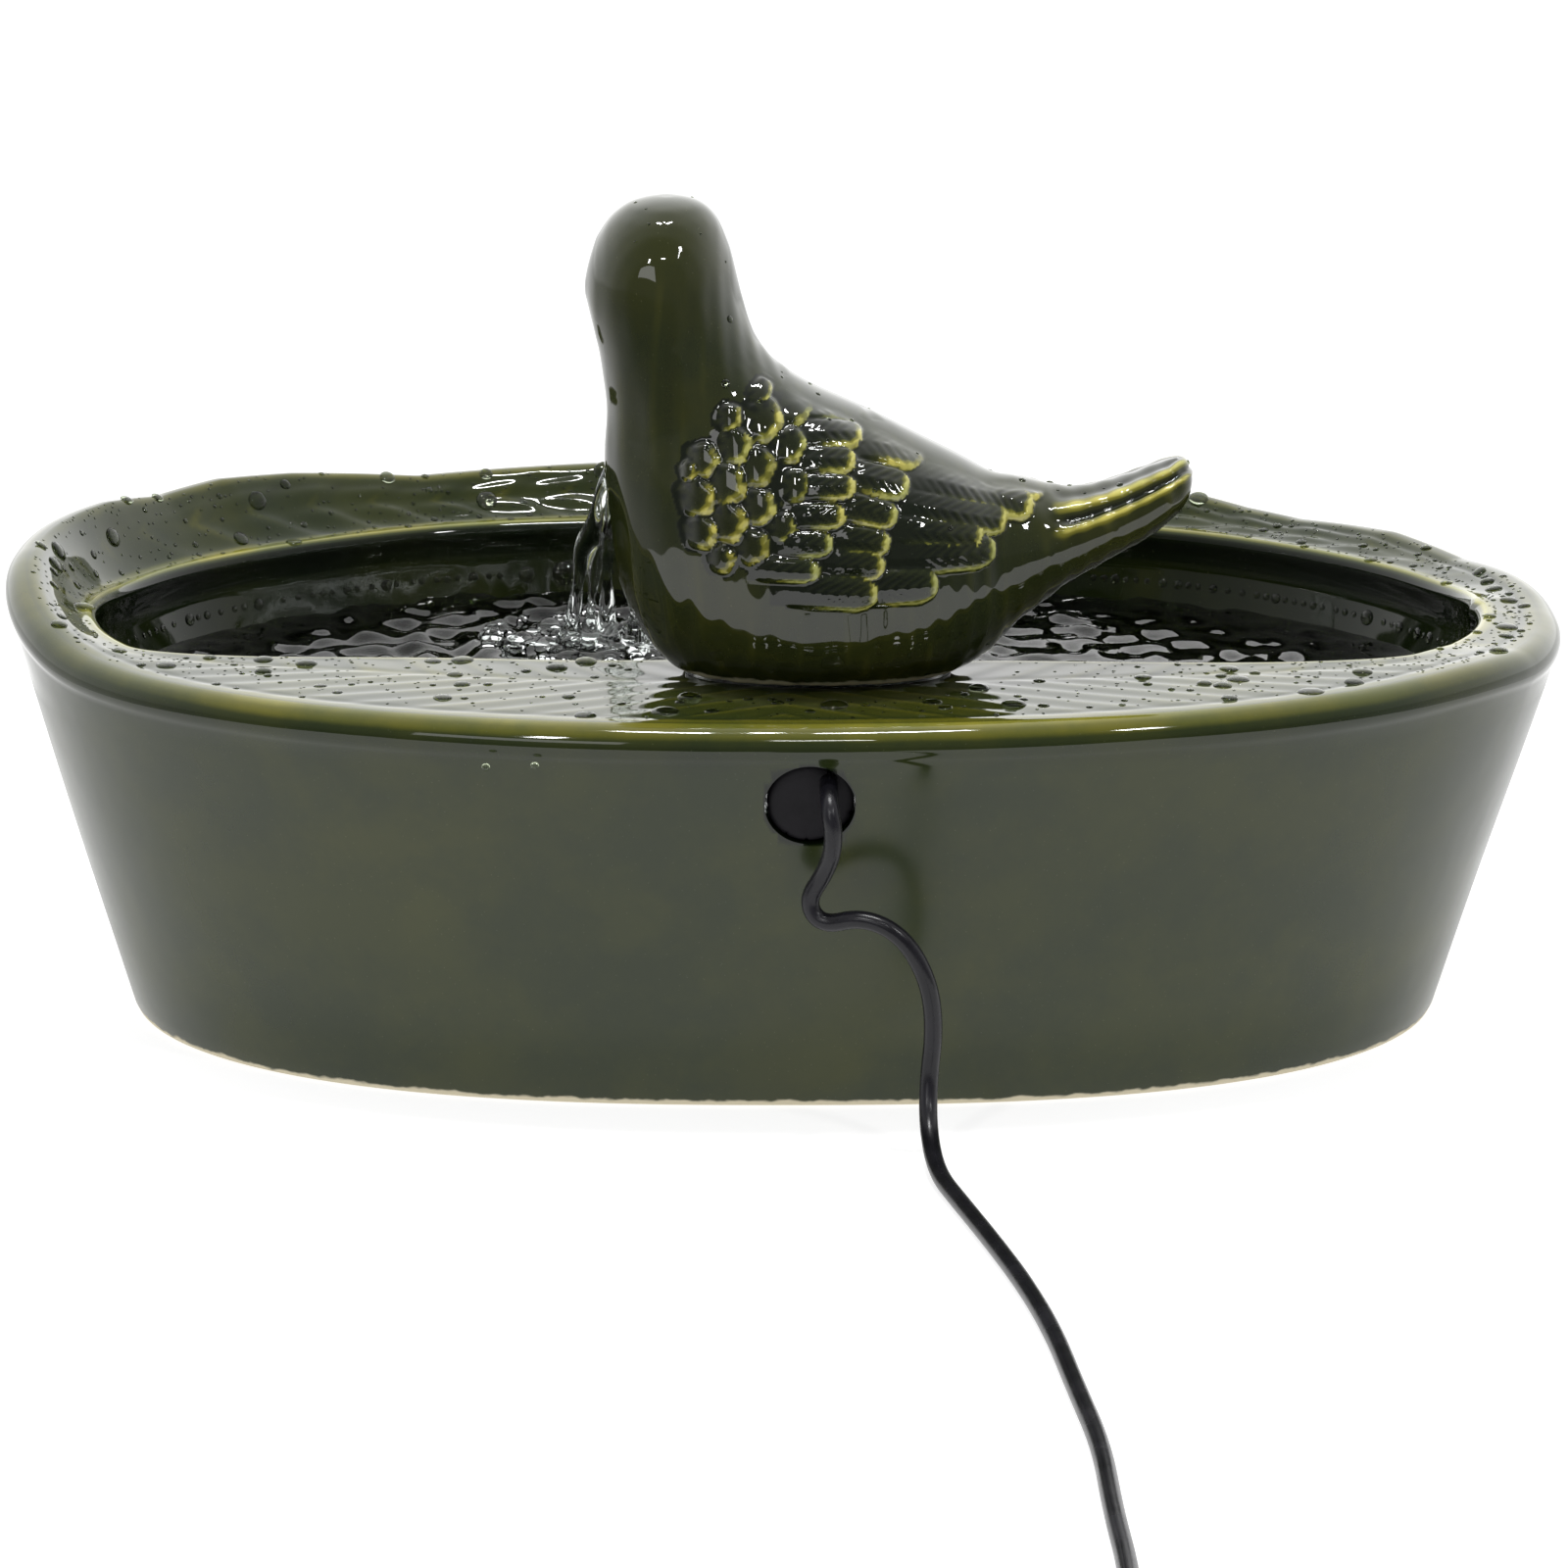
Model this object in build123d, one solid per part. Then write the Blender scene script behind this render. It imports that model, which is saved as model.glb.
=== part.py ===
"""Tabletop bird fountain: an oval glazed basin, a bird that pours from its beak, and a low-voltage pump.

Millimetres. +Z up, +X towards the bird's tail, -Y towards the ledge that the bird sits on and the cord's
side, +Y towards the open pool. The origin is on the floor, at the centre of the basin.
"""
from build123d import *
from math import cos, pi, sin, tan, radians, copysign
import os

# Basin
RIM_HALF_X = 182.5          # outside of the rim, half its length
RIM_HALF_Y = 124.0          # outside of the rim, half its width
BASE_HALF_X = 155.2         # foot, half its length
BASE_HALF_Y = 96.7          # foot, half its width
BASIN_HEIGHT = 95.0         # floor to the ledge
RIM_THICK = 8.0             # thickness of the ledge and rim slab
RIM_OVERHANG = 2.0          # rim stands out beyond the wall
WALL_THICK = 6.0
FLOOR_THICK = 7.0
FOOT_WIDTH = 9.0
FOOT_RECESS = 1.5
BASE_EDGE = 1.6             # rounding where the wall meets the floor it stands on
RIM_ROUND = 3.8             # bullnose of the outer rim edge
LIP_ROUND = 2.6             # rounding of the opening's upper edge
RIM_WIDTH = 20.5            # rim from its outside to the opening, on the pool side and ends
LEDGE_EDGE_Y = -61.0        # where the ledge stops and the pool begins
OPENING_CORNER = 22.0       # corner radius of the D-shaped opening
SQUARENESS = 2.25           # superellipse exponent of every oval outline
OUTLINE_POINTS = 24

# Bird and its water tube
BIRD_X = 6.0                # centre of the bird's foot, where the tube comes up
BIRD_Y = -75.0
LEDGE_HOLE_R = 8.0
SEAT_THICK = 1.0
BIRD_WALL = 5.0
BIRD_FLOOR = 8.0
BIRD_FLOOR_HOLE_R = 5.5
HEAD_HEIGHT = 84.0          # middle of the head, above the bird's seat
TUBE_R = 3.5
TUBE_BORE_R = 2.5
TUBE_PLAY = 0.3             # radial room between the tube and its grommet
NOZZLE_PLAY = 0.05          # radial room between the nozzle and the tube that slides on it
BEAK_BORE_R = 2.2
BEAK_ROOT_R = 7.2
BEAK_TIP_R = 3.9
BEAK_START = 10.0
BEAK_LENGTH = 32.0

# Cord plug in the back wall
PLUG_X = 5.6
PLUG_Z = 77.0
PLUG_R = 9.6
PLUG_PLAY = 0.2
PLUG_LENGTH = 9.5
PLUG_RECESS = 1.2
PLUG_TILT = 8.0             # degrees that the plug's outer face looks down
PLUG_SLIT = 0.7
CORD_OFF_X = 4.0            # cord hole from the plug's centre
CORD_OFF_Z = 4.6
CORD_R = 2.0
CORD_PLAY = 0.1

# Pump, measured about its own axis, which runs along X
PUMP_Z = 29.0               # height of the pump's axis
PUMP_HALF_Y = 16.0
PUMP_HALF_Z = 17.5
PUMP_EDGE = 3.0
HOUSING_LENGTH = 32.0
HOUSING_WALL = 2.0
VOLUTE_LENGTH = 16.0
VOLUTE_FRONT = 2.2
CHAMBER_R = 12.6
CAN_BORE_R = 6.6
CAN_WALL = 0.8
CAN_DEPTH = 23.0
INLET_R = 6.0
NOZZLE_BORE_R = 1.6
NOZZLE_BOSS_R = 4.5
NOZZLE_BOSS = 2.0
NOZZLE_LENGTH = 11.5
SHAFT_R = 1.5
SHAFT_PLAY = 0.05
SLEEVE_R = 3.0
MAGNET_R = 5.6
MAGNET_LENGTH = 18.0
IMPELLER_R = 10.5
BLADES = 6
SPIDER_BARS = 3
BUSH_R = 2.6
BUSH_LENGTH = 2.4
POLES = 4
STATOR_R = 13.2
STATOR_LENGTH = 13.0
COVER_LENGTH = 16.0
COVER_WALL = 1.6
COVER_GAP = 0.3             # seam between the filter cover and the pump
SLOT_HEIGHT = 2.0
SLOTS = 5
GATE_PLAY = 0.1
SCREW_R = 1.1
POTTING_THICK = 4.6
GLAND_R = 3.0               # hole in the housing that the lead's gland fills
CUP_R = 6.0

# Cord outside, its coil and the connector
COIL_Y = -418.0
COIL_TURN_R = 23.0          # mean radius of the turns
COIL_WIDTH = 20.4
COIL_HEIGHT = 15.6
TIE_THICK = 0.8
TIE_WIDTH = 4.4
TIE_ANGLE = 118.0           # where the tie sits on the coil, degrees from +X
BOOT_LENGTH = 14.0
GRIP_R = 5.0
GRIP_LENGTH = 20.0
BARREL_R = 2.75
BARREL_LENGTH = 9.5

# The cord, from the plug's outer face to the coil. Its first point is the exit, which follows the plug.
CORD_ROUTE = [
    (9.6, -127.9, 80.4),
    (10.9, -129.0, 71.2),
    (9.0, -124.5, 63.5),
    (4.7, -123.0, 56.4),
    (8.2, -124.4, 51.2),
    (17.0, -127.0, 54.2),
    (25.6, -129.2, 50.6),
    (31.2, -129.8, 40.6),
    (32.6, -128.0, 29.0),
    (31.4, -126.5, 17.0),
    (31.2, -132.5, 7.6),
    (32.8, -145.5, 2.3),
    (37.2, -162.0, 2.05),
    (43.2, -185.0, 2.05),
    (49.2, -210.5, 2.05),
    (53.6, -236.0, 2.05),
    (56.5, -264.0, 2.05),
    (59.8, -292.0, 2.05),
    (60.2, -321.0, 2.05),
    (61.6, -349.0, 2.05),
    (60.6, -376.0, 2.05),
    (60.6, -398.0, 2.05),
]


def oval_points(half_x, half_y, z):
    points = []
    for i in range(OUTLINE_POINTS):
        angle = 2 * pi * i / OUTLINE_POINTS
        x = half_x * copysign(abs(cos(angle)) ** (2 / SQUARENESS), cos(angle))
        y = half_y * copysign(abs(sin(angle)) ** (2 / SQUARENESS), sin(angle))
        points.append((x, y, z))
    return points


def oval(half_x, half_y, z):
    """Face inside one of the basin's oval outlines."""
    return make_face(Spline(*oval_points(half_x, half_y, z), periodic=True)).face()


def rod(start, end, radius):
    """Cylinder between two points."""
    way = Vector(*end) - Vector(*start)
    plane = Plane(origin=start, z_dir=way)
    return extrude(plane * Circle(radius), amount=way.length)


def ring(start, end, radius, bore):
    return rod(start, end, radius) - rod(start, end, bore)


def block(low, high):
    size = [b - a for a, b in zip(low, high)]
    middle = [(a + b) / 2 for a, b in zip(low, high)]
    return Pos(*middle) * Box(*size)


def route_radii(points):
    """0.45 of the shorter run over the tangent of half the turn, one for each corner."""
    radii = []
    for before, here, after in zip(points, points[1:], points[2:]):
        run_in = Vector(*here) - Vector(*before)
        run_out = Vector(*after) - Vector(*here)
        turn = run_in.get_angle(run_out)
        radii.append(0.45 * min(run_in.length, run_out.length) / tan(radians(turn) / 2))
    return radii


def tube(points, radius, name):
    radii = route_radii(points)
    path = FilletPolyline(*points, radius=radii)
    solid = sweep(Plane(origin=path @ 0, z_dir=path % 0) * Circle(radius), path=path)
    section_volume = pi * radius**2 * path.length
    print(name, "length", round(path.length, 1), "radii", [round(r, 1) for r in radii])
    print(name, "volume over section x length", round(solid.volume / section_volume, 4))
    return solid


# Heights and places that follow from the sizes above
rim_bottom = BASIN_HEIGHT - RIM_THICK
wall_slope = (RIM_HALF_Y - RIM_OVERHANG - BASE_HALF_Y) / rim_bottom
wall_top_x = RIM_HALF_X - RIM_OVERHANG
wall_top_y = RIM_HALF_Y - RIM_OVERHANG
seat_top = BASIN_HEIGHT + SEAT_THICK
wall_y_at_plug = -(BASE_HALF_Y + wall_slope * PLUG_Z)
plug_plane = Plane(
    origin=(PLUG_X, wall_y_at_plug, PLUG_Z),
    x_dir=(1, 0, 0),
    z_dir=(0, -cos(radians(PLUG_TILT)), -sin(radians(PLUG_TILT))),
)
plug_hole_r = PLUG_R + PLUG_PLAY
cord_hole = Vector(CORD_OFF_X, CORD_OFF_Z, 0)     # in the plug's own plane
cord_exit = plug_plane.from_local_coords(cord_hole + Vector(0, 0, -PLUG_RECESS))
cord_inside = plug_plane.from_local_coords(cord_hole + Vector(0, 0, -PLUG_RECESS - PLUG_LENGTH))

nozzle_x = BIRD_X
volute_back = nozzle_x - 8.0
volute_front = volute_back + VOLUTE_LENGTH
housing_back = volute_back - HOUSING_LENGTH
cover_back = volute_front + COVER_GAP
cover_front = cover_back + COVER_LENGTH
pump_bottom = PUMP_Z - PUMP_HALF_Z
pump_top = PUMP_Z + PUMP_HALF_Z
can_end = volute_back - CAN_DEPTH
nozzle_top = pump_top + NOZZLE_BOSS + NOZZLE_LENGTH
tube_bottom = pump_top + NOZZLE_BOSS + 0.5
board_back = housing_back + POTTING_THICK
gland_x = housing_back + 6.0
gland_y = BIRD_Y - 4.0
gland_top = pump_top + 5.0


def along_pump(x, y=0.0, z=0.0):
    """Point on the pump, given from its axis."""
    return (x, BIRD_Y + y, PUMP_Z + z)


def around_pump(i, count):
    """Turn about the pump's axis."""
    return Location(along_pump(0), (360 * i / count, 0, 0)) * Location(along_pump(0)).inverse()


def pump_block(x_low, x_high, inset=0.0, edge=PUMP_EDGE):
    """Length of the pump's rounded rectangular body."""
    plane = Plane(origin=along_pump(x_low), x_dir=(0, 1, 0), z_dir=(1, 0, 0))
    section = RectangleRounded(2 * (PUMP_HALF_Y - inset), 2 * (PUMP_HALF_Z - inset), edge)
    return extrude(plane * section, amount=x_high - x_low)


def make_basin():
    wall = loft([oval(BASE_HALF_X, BASE_HALF_Y, 0), oval(wall_top_x, wall_top_y, rim_bottom)])
    wall = fillet(wall.edges().group_by(Axis.Z)[0], BASE_EDGE)
    rim = extrude(oval(RIM_HALF_X, RIM_HALF_Y, rim_bottom), amount=RIM_THICK)
    rim = fillet(rim.edges().group_by(Axis.Z)[0] + rim.edges().group_by(Axis.Z)[-1], RIM_ROUND)
    spread = wall_slope * FLOOR_THICK
    hollow = loft([
        oval(BASE_HALF_X + spread - WALL_THICK, BASE_HALF_Y + spread - WALL_THICK, FLOOR_THICK),
        oval(wall_top_x - WALL_THICK, wall_top_y - WALL_THICK, rim_bottom),
    ])
    foot = extrude(oval(BASE_HALF_X - FOOT_WIDTH, BASE_HALF_Y - FOOT_WIDTH, 0), amount=FOOT_RECESS)
    inner = oval(RIM_HALF_X - RIM_WIDTH, RIM_HALF_Y - RIM_WIDTH, rim_bottom)
    pool_side = Plane.XY.offset(rim_bottom) * Pos(0, LEDGE_EDGE_Y + RIM_HALF_Y) * Rectangle(
        3 * RIM_HALF_X, 2 * RIM_HALF_Y
    )
    opening_face = inner & pool_side
    corners = opening_face.vertices().group_by(Axis.Y)[0]
    opening_face = fillet(corners, OPENING_CORNER)
    opening = extrude(opening_face, amount=RIM_THICK)
    basin = wall + rim - hollow - foot - opening
    lip = []
    for edge in basin.edges().filter_by_position(Axis.Z, BASIN_HEIGHT - 0.01, BASIN_HEIGHT + 0.01):
        if edge.bounding_box().max.Y < RIM_HALF_Y - RIM_WIDTH + 1:
            lip.append(edge)
    basin = fillet(lip, LIP_ROUND)
    basin = basin - Pos(BIRD_X, BIRD_Y, rim_bottom) * Cylinder(LEDGE_HOLE_R, 4 * RIM_THICK)
    return basin - extrude(plug_plane * Circle(plug_hole_r), amount=WALL_THICK + 8, both=True)


# The bird's upright sections: height above its seat, centre x, centre y, half length along x, half
# depth along y
BIRD_SECTIONS = [
    (0.0, 7.5, BIRD_Y, 31.5, 16.5),
    (BIRD_FLOOR, 9.0, BIRD_Y, 39.6, 22.0),
    (18.0, 9.5, BIRD_Y, 45.2, 26.0),
    (27.0, 9.3, BIRD_Y, 46.7, 27.5),
    (37.0, 6.7, BIRD_Y, 45.3, 26.6),
    (45.0, 2.0, BIRD_Y, 41.5, 24.4),
    (52.0, -4.5, BIRD_Y, 34.8, 21.4),
    (58.0, -10.0, BIRD_Y, 28.6, 19.2),
    (64.0, -17.0, BIRD_Y, 22.3, 17.6),
    (71.0, -22.2, BIRD_Y + 0.5, 18.1, 17.0),
    (78.0, -24.8, BIRD_Y + 1.5, 17.2, 17.6),
    (84.0, -26.5, BIRD_Y + 2.5, 16.9, 18.4),
    (91.0, -26.8, BIRD_Y + 3.0, 15.8, 18.0),
    (97.5, -26.6, BIRD_Y + 3.0, 13.4, 15.2),
    (101.0, -26.2, BIRD_Y + 3.0, 11.0, 12.4),
    (103.6, -25.8, BIRD_Y + 3.0, 7.6, 8.6),
    (105.2, -25.4, BIRD_Y + 3.0, 2.4, 2.7),
]
HOLLOW_FROM = 1             # sections with room for a hollow
HOLLOW_TO = 13
# The tail's sections across X: x, centre height above the seat, half depth along y, half height
TAIL_SECTIONS = [
    (30.0, 24.5, 18.0, 17.0),
    (50.0, 26.9, 15.5, 17.2),
    (62.0, 30.2, 13.0, 10.8),
    (73.0, 34.5, 11.5, 8.6),
    (84.0, 40.0, 9.5, 7.2),
    (88.6, 42.2, 6.0, 4.0),
]
head_centre = Vector(-26.6, BIRD_Y + 2.6, seat_top + HEAD_HEIGHT)
beak_way = Vector(-0.37, 0.92, -0.1).normalized()
beak_tip = head_centre + beak_way * BEAK_LENGTH


def bird_sections(sections, inset=0.0):
    faces = []
    for height, cx, cy, half_x, half_y in sections:
        plane = Plane(origin=(cx, cy, seat_top + height))
        faces.append((plane * Ellipse(half_x - inset, half_y - inset)).face())
    return faces


def make_bird():
    body = loft(bird_sections(BIRD_SECTIONS))
    tail_faces = []
    for x, middle, half_y, half_z in TAIL_SECTIONS:
        place = (x, BIRD_Y, seat_top + middle)
        plane = Plane(origin=place, x_dir=(0, 1, 0), z_dir=(1, 0, 0))
        tail_faces.append((plane * Ellipse(half_y, half_z)).face())
    tail = loft(tail_faces)
    beak_plane = Plane(origin=head_centre, z_dir=beak_way)
    beak = loft([
        (beak_plane.offset(BEAK_START) * Circle(BEAK_ROOT_R)).face(),
        (beak_plane.offset(BEAK_LENGTH) * Circle(BEAK_TIP_R)).face(),
    ])
    hollow = loft(bird_sections(BIRD_SECTIONS[HOLLOW_FROM:HOLLOW_TO], BIRD_WALL))
    tube_hole = Pos(BIRD_X, BIRD_Y, seat_top) * Cylinder(BIRD_FLOOR_HOLE_R, 2 * BIRD_FLOOR + 2)
    bird = body + tail + beak - hollow - tube_hole
    return bird - rod(head_centre, head_centre + beak_way * (BEAK_LENGTH + 5), BEAK_BORE_R)


def make_delivery_tube():
    mouth = head_centre + beak_way * 8.0
    points = [
        (BIRD_X, BIRD_Y, tube_bottom),
        (BIRD_X, BIRD_Y, seat_top + 16.0),
        (-14.0, BIRD_Y + 0.5, seat_top + 42.0),
        (-24.5, BIRD_Y + 0.2, seat_top + 64.0),
        (-23.8, BIRD_Y - 4.5, seat_top + 82.5),
        (mouth.X, mouth.Y, mouth.Z),
    ]
    solid = tube(points, TUBE_R, "delivery_tube")
    return solid - tube(points, TUBE_BORE_R, "delivery_tube bore")


def make_seat_ring():
    plane = Plane(origin=(BIRD_SECTIONS[0][1], BIRD_Y, BASIN_HEIGHT))
    outer = extrude(plane * Ellipse(29.5, 14.5), amount=SEAT_THICK)
    return outer - extrude(plane * Ellipse(25.5, 10.5), amount=SEAT_THICK)


def make_grommet():
    centre = (BIRD_X, BIRD_Y)
    body = rod((*centre, rim_bottom - 1.8), (*centre, BASIN_HEIGHT), LEDGE_HOLE_R - 0.1)
    flange = rod((*centre, rim_bottom - 1.8), (*centre, rim_bottom), LEDGE_HOLE_R + 2.0)
    bore = rod((*centre, rim_bottom - 3), (*centre, BASIN_HEIGHT + 1), TUBE_R + TUBE_PLAY)
    return body + flange - bore


def make_cord_plug():
    face_plane = plug_plane.offset(-PLUG_RECESS)
    plug = extrude(face_plane * Circle(PLUG_R), amount=-PLUG_LENGTH)
    plug = chamfer(plug.edges().filter_by(GeomType.CIRCLE), 0.6)
    slit_box = Box(PLUG_SLIT, 2.4 * PLUG_R, 1.2 * PLUG_LENGTH)
    slit = Location(face_plane) * Pos(CORD_OFF_X, 0, 0) * slit_box
    bore_place = Location(face_plane) * Pos(CORD_OFF_X, CORD_OFF_Z, 0)
    bore = bore_place * Cylinder(CORD_R + CORD_PLAY, 3 * PLUG_LENGTH)
    return plug - slit - bore


def make_pump_housing():
    outer = pump_block(housing_back, volute_back)
    cavity = pump_block(housing_back, volute_back - HOUSING_WALL, inset=HOUSING_WALL, edge=1.5)
    can = rod(along_pump(can_end - CAN_WALL), along_pump(volute_back), CAN_BORE_R + CAN_WALL)
    seal_groove = ring(
        along_pump(volute_back - 1.2), along_pump(volute_back), CHAMBER_R + 1.6, CHAMBER_R
    )
    well = rod(along_pump(can_end), along_pump(volute_back), CAN_BORE_R)
    housing = outer - cavity + can - well - seal_groove
    housing = housing - rod((gland_x, gland_y, pump_top - 4), (gland_x, gland_y, pump_top + 1), GLAND_R)
    for screw in screw_places():
        y, z = screw
        boss_back = volute_back - HOUSING_WALL - 3
        boss = block((boss_back, y - 1.8, z - 1.8), (volute_back - HOUSING_WALL, y + 1.8, z + 1.8))
        housing = housing + boss - rod((boss_back, y, z), (volute_back, y, z), SCREW_R)
    for cup in cup_places():
        if cup[0] < volute_back:
            housing = housing - rod((*cup, pump_bottom), (*cup, pump_bottom + HOUSING_WALL), 1.5)
    return housing


def screw_places():
    """y and z of the four screws that hold the volute cover."""
    places = []
    for side_y in (-1, 1):
        for side_z in (-1, 1):
            places.append((BIRD_Y + side_y * (PUMP_HALF_Y - 2.9), PUMP_Z + side_z * (PUMP_HALF_Z - 2.9)))
    return places


def cup_places():
    """x and y of the suction cups under the pump."""
    places = []
    for x in (housing_back + 7.0, volute_front - 7.0):
        for side in (-1, 1):
            places.append((x, BIRD_Y + side * 9.0))
    return places


def make_volute_cover():
    outer = pump_block(volute_back, volute_front)
    chamber_end = volute_front - VOLUTE_FRONT
    cover = outer - rod(along_pump(volute_back), along_pump(chamber_end), CHAMBER_R)
    cover = cover - rod(along_pump(chamber_end), along_pump(volute_front), INLET_R)
    spider = rod(along_pump(chamber_end), along_pump(volute_front), BUSH_R + 0.8)
    for i in range(SPIDER_BARS):
        bar = block(along_pump(chamber_end, -0.7, 0), along_pump(volute_front, 0.7, INLET_R + 0.5))
        spider = spider + around_pump(i, SPIDER_BARS) * bar
    cover = cover + spider - rod(along_pump(chamber_end), along_pump(volute_front), BUSH_R)
    boss = rod((nozzle_x, BIRD_Y, pump_top - 1), (nozzle_x, BIRD_Y, pump_top + NOZZLE_BOSS), NOZZLE_BOSS_R)
    spout = rod(
        (nozzle_x, BIRD_Y, pump_top), (nozzle_x, BIRD_Y, nozzle_top), TUBE_BORE_R - NOZZLE_PLAY
    )
    bore = rod((nozzle_x, BIRD_Y, PUMP_Z + CHAMBER_R - 2), (nozzle_x, BIRD_Y, nozzle_top), NOZZLE_BORE_R)
    cover = cover + boss + spout - bore
    for screw in screw_places():
        cover = cover - rod((volute_back, *screw), (volute_front, *screw), SCREW_R + 0.1)
        cover = cover - rod((volute_front - 1.6, *screw), (volute_front, *screw), 2.1)
    for cup in cup_places():
        if cup[0] > volute_back:
            cover = cover - rod((*cup, pump_bottom), (*cup, pump_bottom + 1.6), 1.5)
    return cover


def make_cover_screws():
    screws = []
    for screw in screw_places():
        shank = rod((volute_back - HOUSING_WALL - 2.5, *screw), (volute_front - 1.5, *screw), SCREW_R)
        head = rod((volute_front - 1.5, *screw), (volute_front - 0.1, *screw), 2.0)
        y, z = screw
        drive = block((volute_front - 0.7, y - 1.5, z - 0.3), (volute_front, y + 1.5, z + 0.3))
        screws.append((shank + head - drive).solid())
    return Compound(children=screws)


def make_chamber_seal():
    return ring(along_pump(volute_back - 1.2), along_pump(volute_back), CHAMBER_R + 1.6, CHAMBER_R)


def make_impeller():
    disc_back = volute_back + 1.0
    disc_front = disc_back + 1.4
    blade_front = volute_front - VOLUTE_FRONT - 1.5
    sleeve_back = can_end + BUSH_LENGTH + 0.4
    body = rod(along_pump(sleeve_back), along_pump(disc_front), SLEEVE_R)
    body = body + rod(along_pump(disc_back), along_pump(disc_front), IMPELLER_R)
    body = body + rod(along_pump(disc_front), along_pump(blade_front - 2.0), SLEEVE_R + 1.0)
    for i in range(BLADES):
        blade = block(along_pump(disc_front, -0.6, SLEEVE_R), along_pump(blade_front, 0.6, IMPELLER_R - 0.6))
        body = body + around_pump(i, BLADES) * blade
    return body - rod(along_pump(can_end), along_pump(volute_front), SHAFT_R + SHAFT_PLAY)


def make_rotor_magnet():
    start = can_end + BUSH_LENGTH + 1.2
    return ring(along_pump(start), along_pump(start + MAGNET_LENGTH), MAGNET_R, SLEEVE_R)


def make_rotor_shaft():
    shaft = rod(along_pump(can_end + 0.1), along_pump(volute_front - 0.3), SHAFT_R)
    return chamfer(shaft.edges().filter_by(GeomType.CIRCLE), 0.3)


def make_rear_bush():
    outer = ring(along_pump(can_end), along_pump(can_end + BUSH_LENGTH), CAN_BORE_R, SHAFT_R)
    return chamfer(outer.faces().sort_by(Axis.X)[-1].edges(), 0.3)


def make_front_bush():
    start = volute_front - VOLUTE_FRONT
    return ring(along_pump(start), along_pump(volute_front), BUSH_R, SHAFT_R)


stator_back = can_end + 4.0
stator_front = stator_back + STATOR_LENGTH
can_outside = CAN_BORE_R + CAN_WALL


def make_stator_core():
    core = ring(along_pump(stator_back), along_pump(stator_front), STATOR_R, STATOR_R - 2.2)
    for i in range(POLES):
        pole = block(
            along_pump(stator_back, -1.6, can_outside + 0.6), along_pump(stator_front, 1.6, STATOR_R - 1.5)
        )
        core = core + around_pump(i, POLES) * pole
    return core - rod(along_pump(stator_back), along_pump(stator_front), can_outside + 0.2)


def make_stator_coils():
    coils = []
    for i in range(POLES):
        winding = block(
            along_pump(stator_back - 2.0, -3.4, can_outside + 1.0),
            along_pump(stator_front + 2.0, 3.4, STATOR_R - 3.0),
        )
        core_hole = block(
            along_pump(stator_back, -1.6, can_outside), along_pump(stator_front, 1.6, STATOR_R)
        )
        coils.append((around_pump(i, POLES) * (winding - core_hole)).solid())
    return Compound(children=coils)


def make_driver_board():
    board = block(along_pump(board_back, -12, -13.5), along_pump(board_back + 1.2, 12, 13.5))
    chip = block(along_pump(board_back + 1.2, -3, -11), along_pump(board_back + 2.4, 3, -6))
    capacitor = rod(along_pump(board_back - 2.6, 6, -6), along_pump(board_back, 6, -6), 2.6)
    return board + chip + capacitor


def make_potting():
    plate = pump_block(housing_back, board_back, inset=HOUSING_WALL, edge=1.5)
    gland = rod((gland_x, gland_y, pump_top - 7), (gland_x, gland_y, pump_top), GLAND_R)
    capacitor = rod(along_pump(board_back - 2.6, 6, -6), along_pump(board_back, 6, -6), 2.6)
    return plate - capacitor - gland


def make_intake_cover():
    outer = pump_block(cover_back, cover_front)
    inside = pump_block(cover_back, cover_front - COVER_WALL, inset=COVER_WALL, edge=1.5)
    cover = outer - inside
    for i in range(SLOTS):
        z = (i - (SLOTS - 1) / 2) * 2.6 * SLOT_HEIGHT
        slot = block(
            along_pump(cover_back + 4.0, -PUMP_HALF_Y - 1, z - SLOT_HEIGHT / 2),
            along_pump(cover_front - 3.0, PUMP_HALF_Y + 1, z + SLOT_HEIGHT / 2),
        )
        cover = cover - slot
        if i != (SLOTS - 1) // 2:
            front_slot = block(
                along_pump(cover_front - 4.0, -11, z - SLOT_HEIGHT / 2),
                along_pump(cover_front + 1.0, 11, z + SLOT_HEIGHT / 2),
            )
            cover = cover - front_slot
    window = block(along_pump(cover_front - 4.0, -5, -1.5), along_pump(cover_front + 1.0, 1, 1.5))
    cover = cover - window
    for side in (-1, 1):
        rail = block(
            along_pump(cover_front, -12, side * 2.9 - 0.6),
            along_pump(cover_front + 2.2, 12, side * 2.9 + 0.6),
        )
        lip = block(
            along_pump(cover_front + 1.4, -12, min(side * 1.9, side * 3.5)),
            along_pump(cover_front + 2.2, 12, max(side * 1.9, side * 3.5)),
        )
        cover = cover + rail + lip
    return cover


def make_flow_gate():
    half = 2.3 - GATE_PLAY
    plate = block(
        along_pump(cover_front + GATE_PLAY, 1.6, -half), along_pump(cover_front + 1.4 - GATE_PLAY, 9.6, half)
    )
    knob = block(along_pump(cover_front + 1.0, 4.6, -1.6), along_pump(cover_front + 3.4, 6.6, 1.6))
    return plate + knob


def make_foam_filter():
    foam = pump_block(
        cover_back + 1.5, cover_front - COVER_WALL - 0.4, inset=COVER_WALL + 0.4, edge=1.5
    )
    return foam


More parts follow.
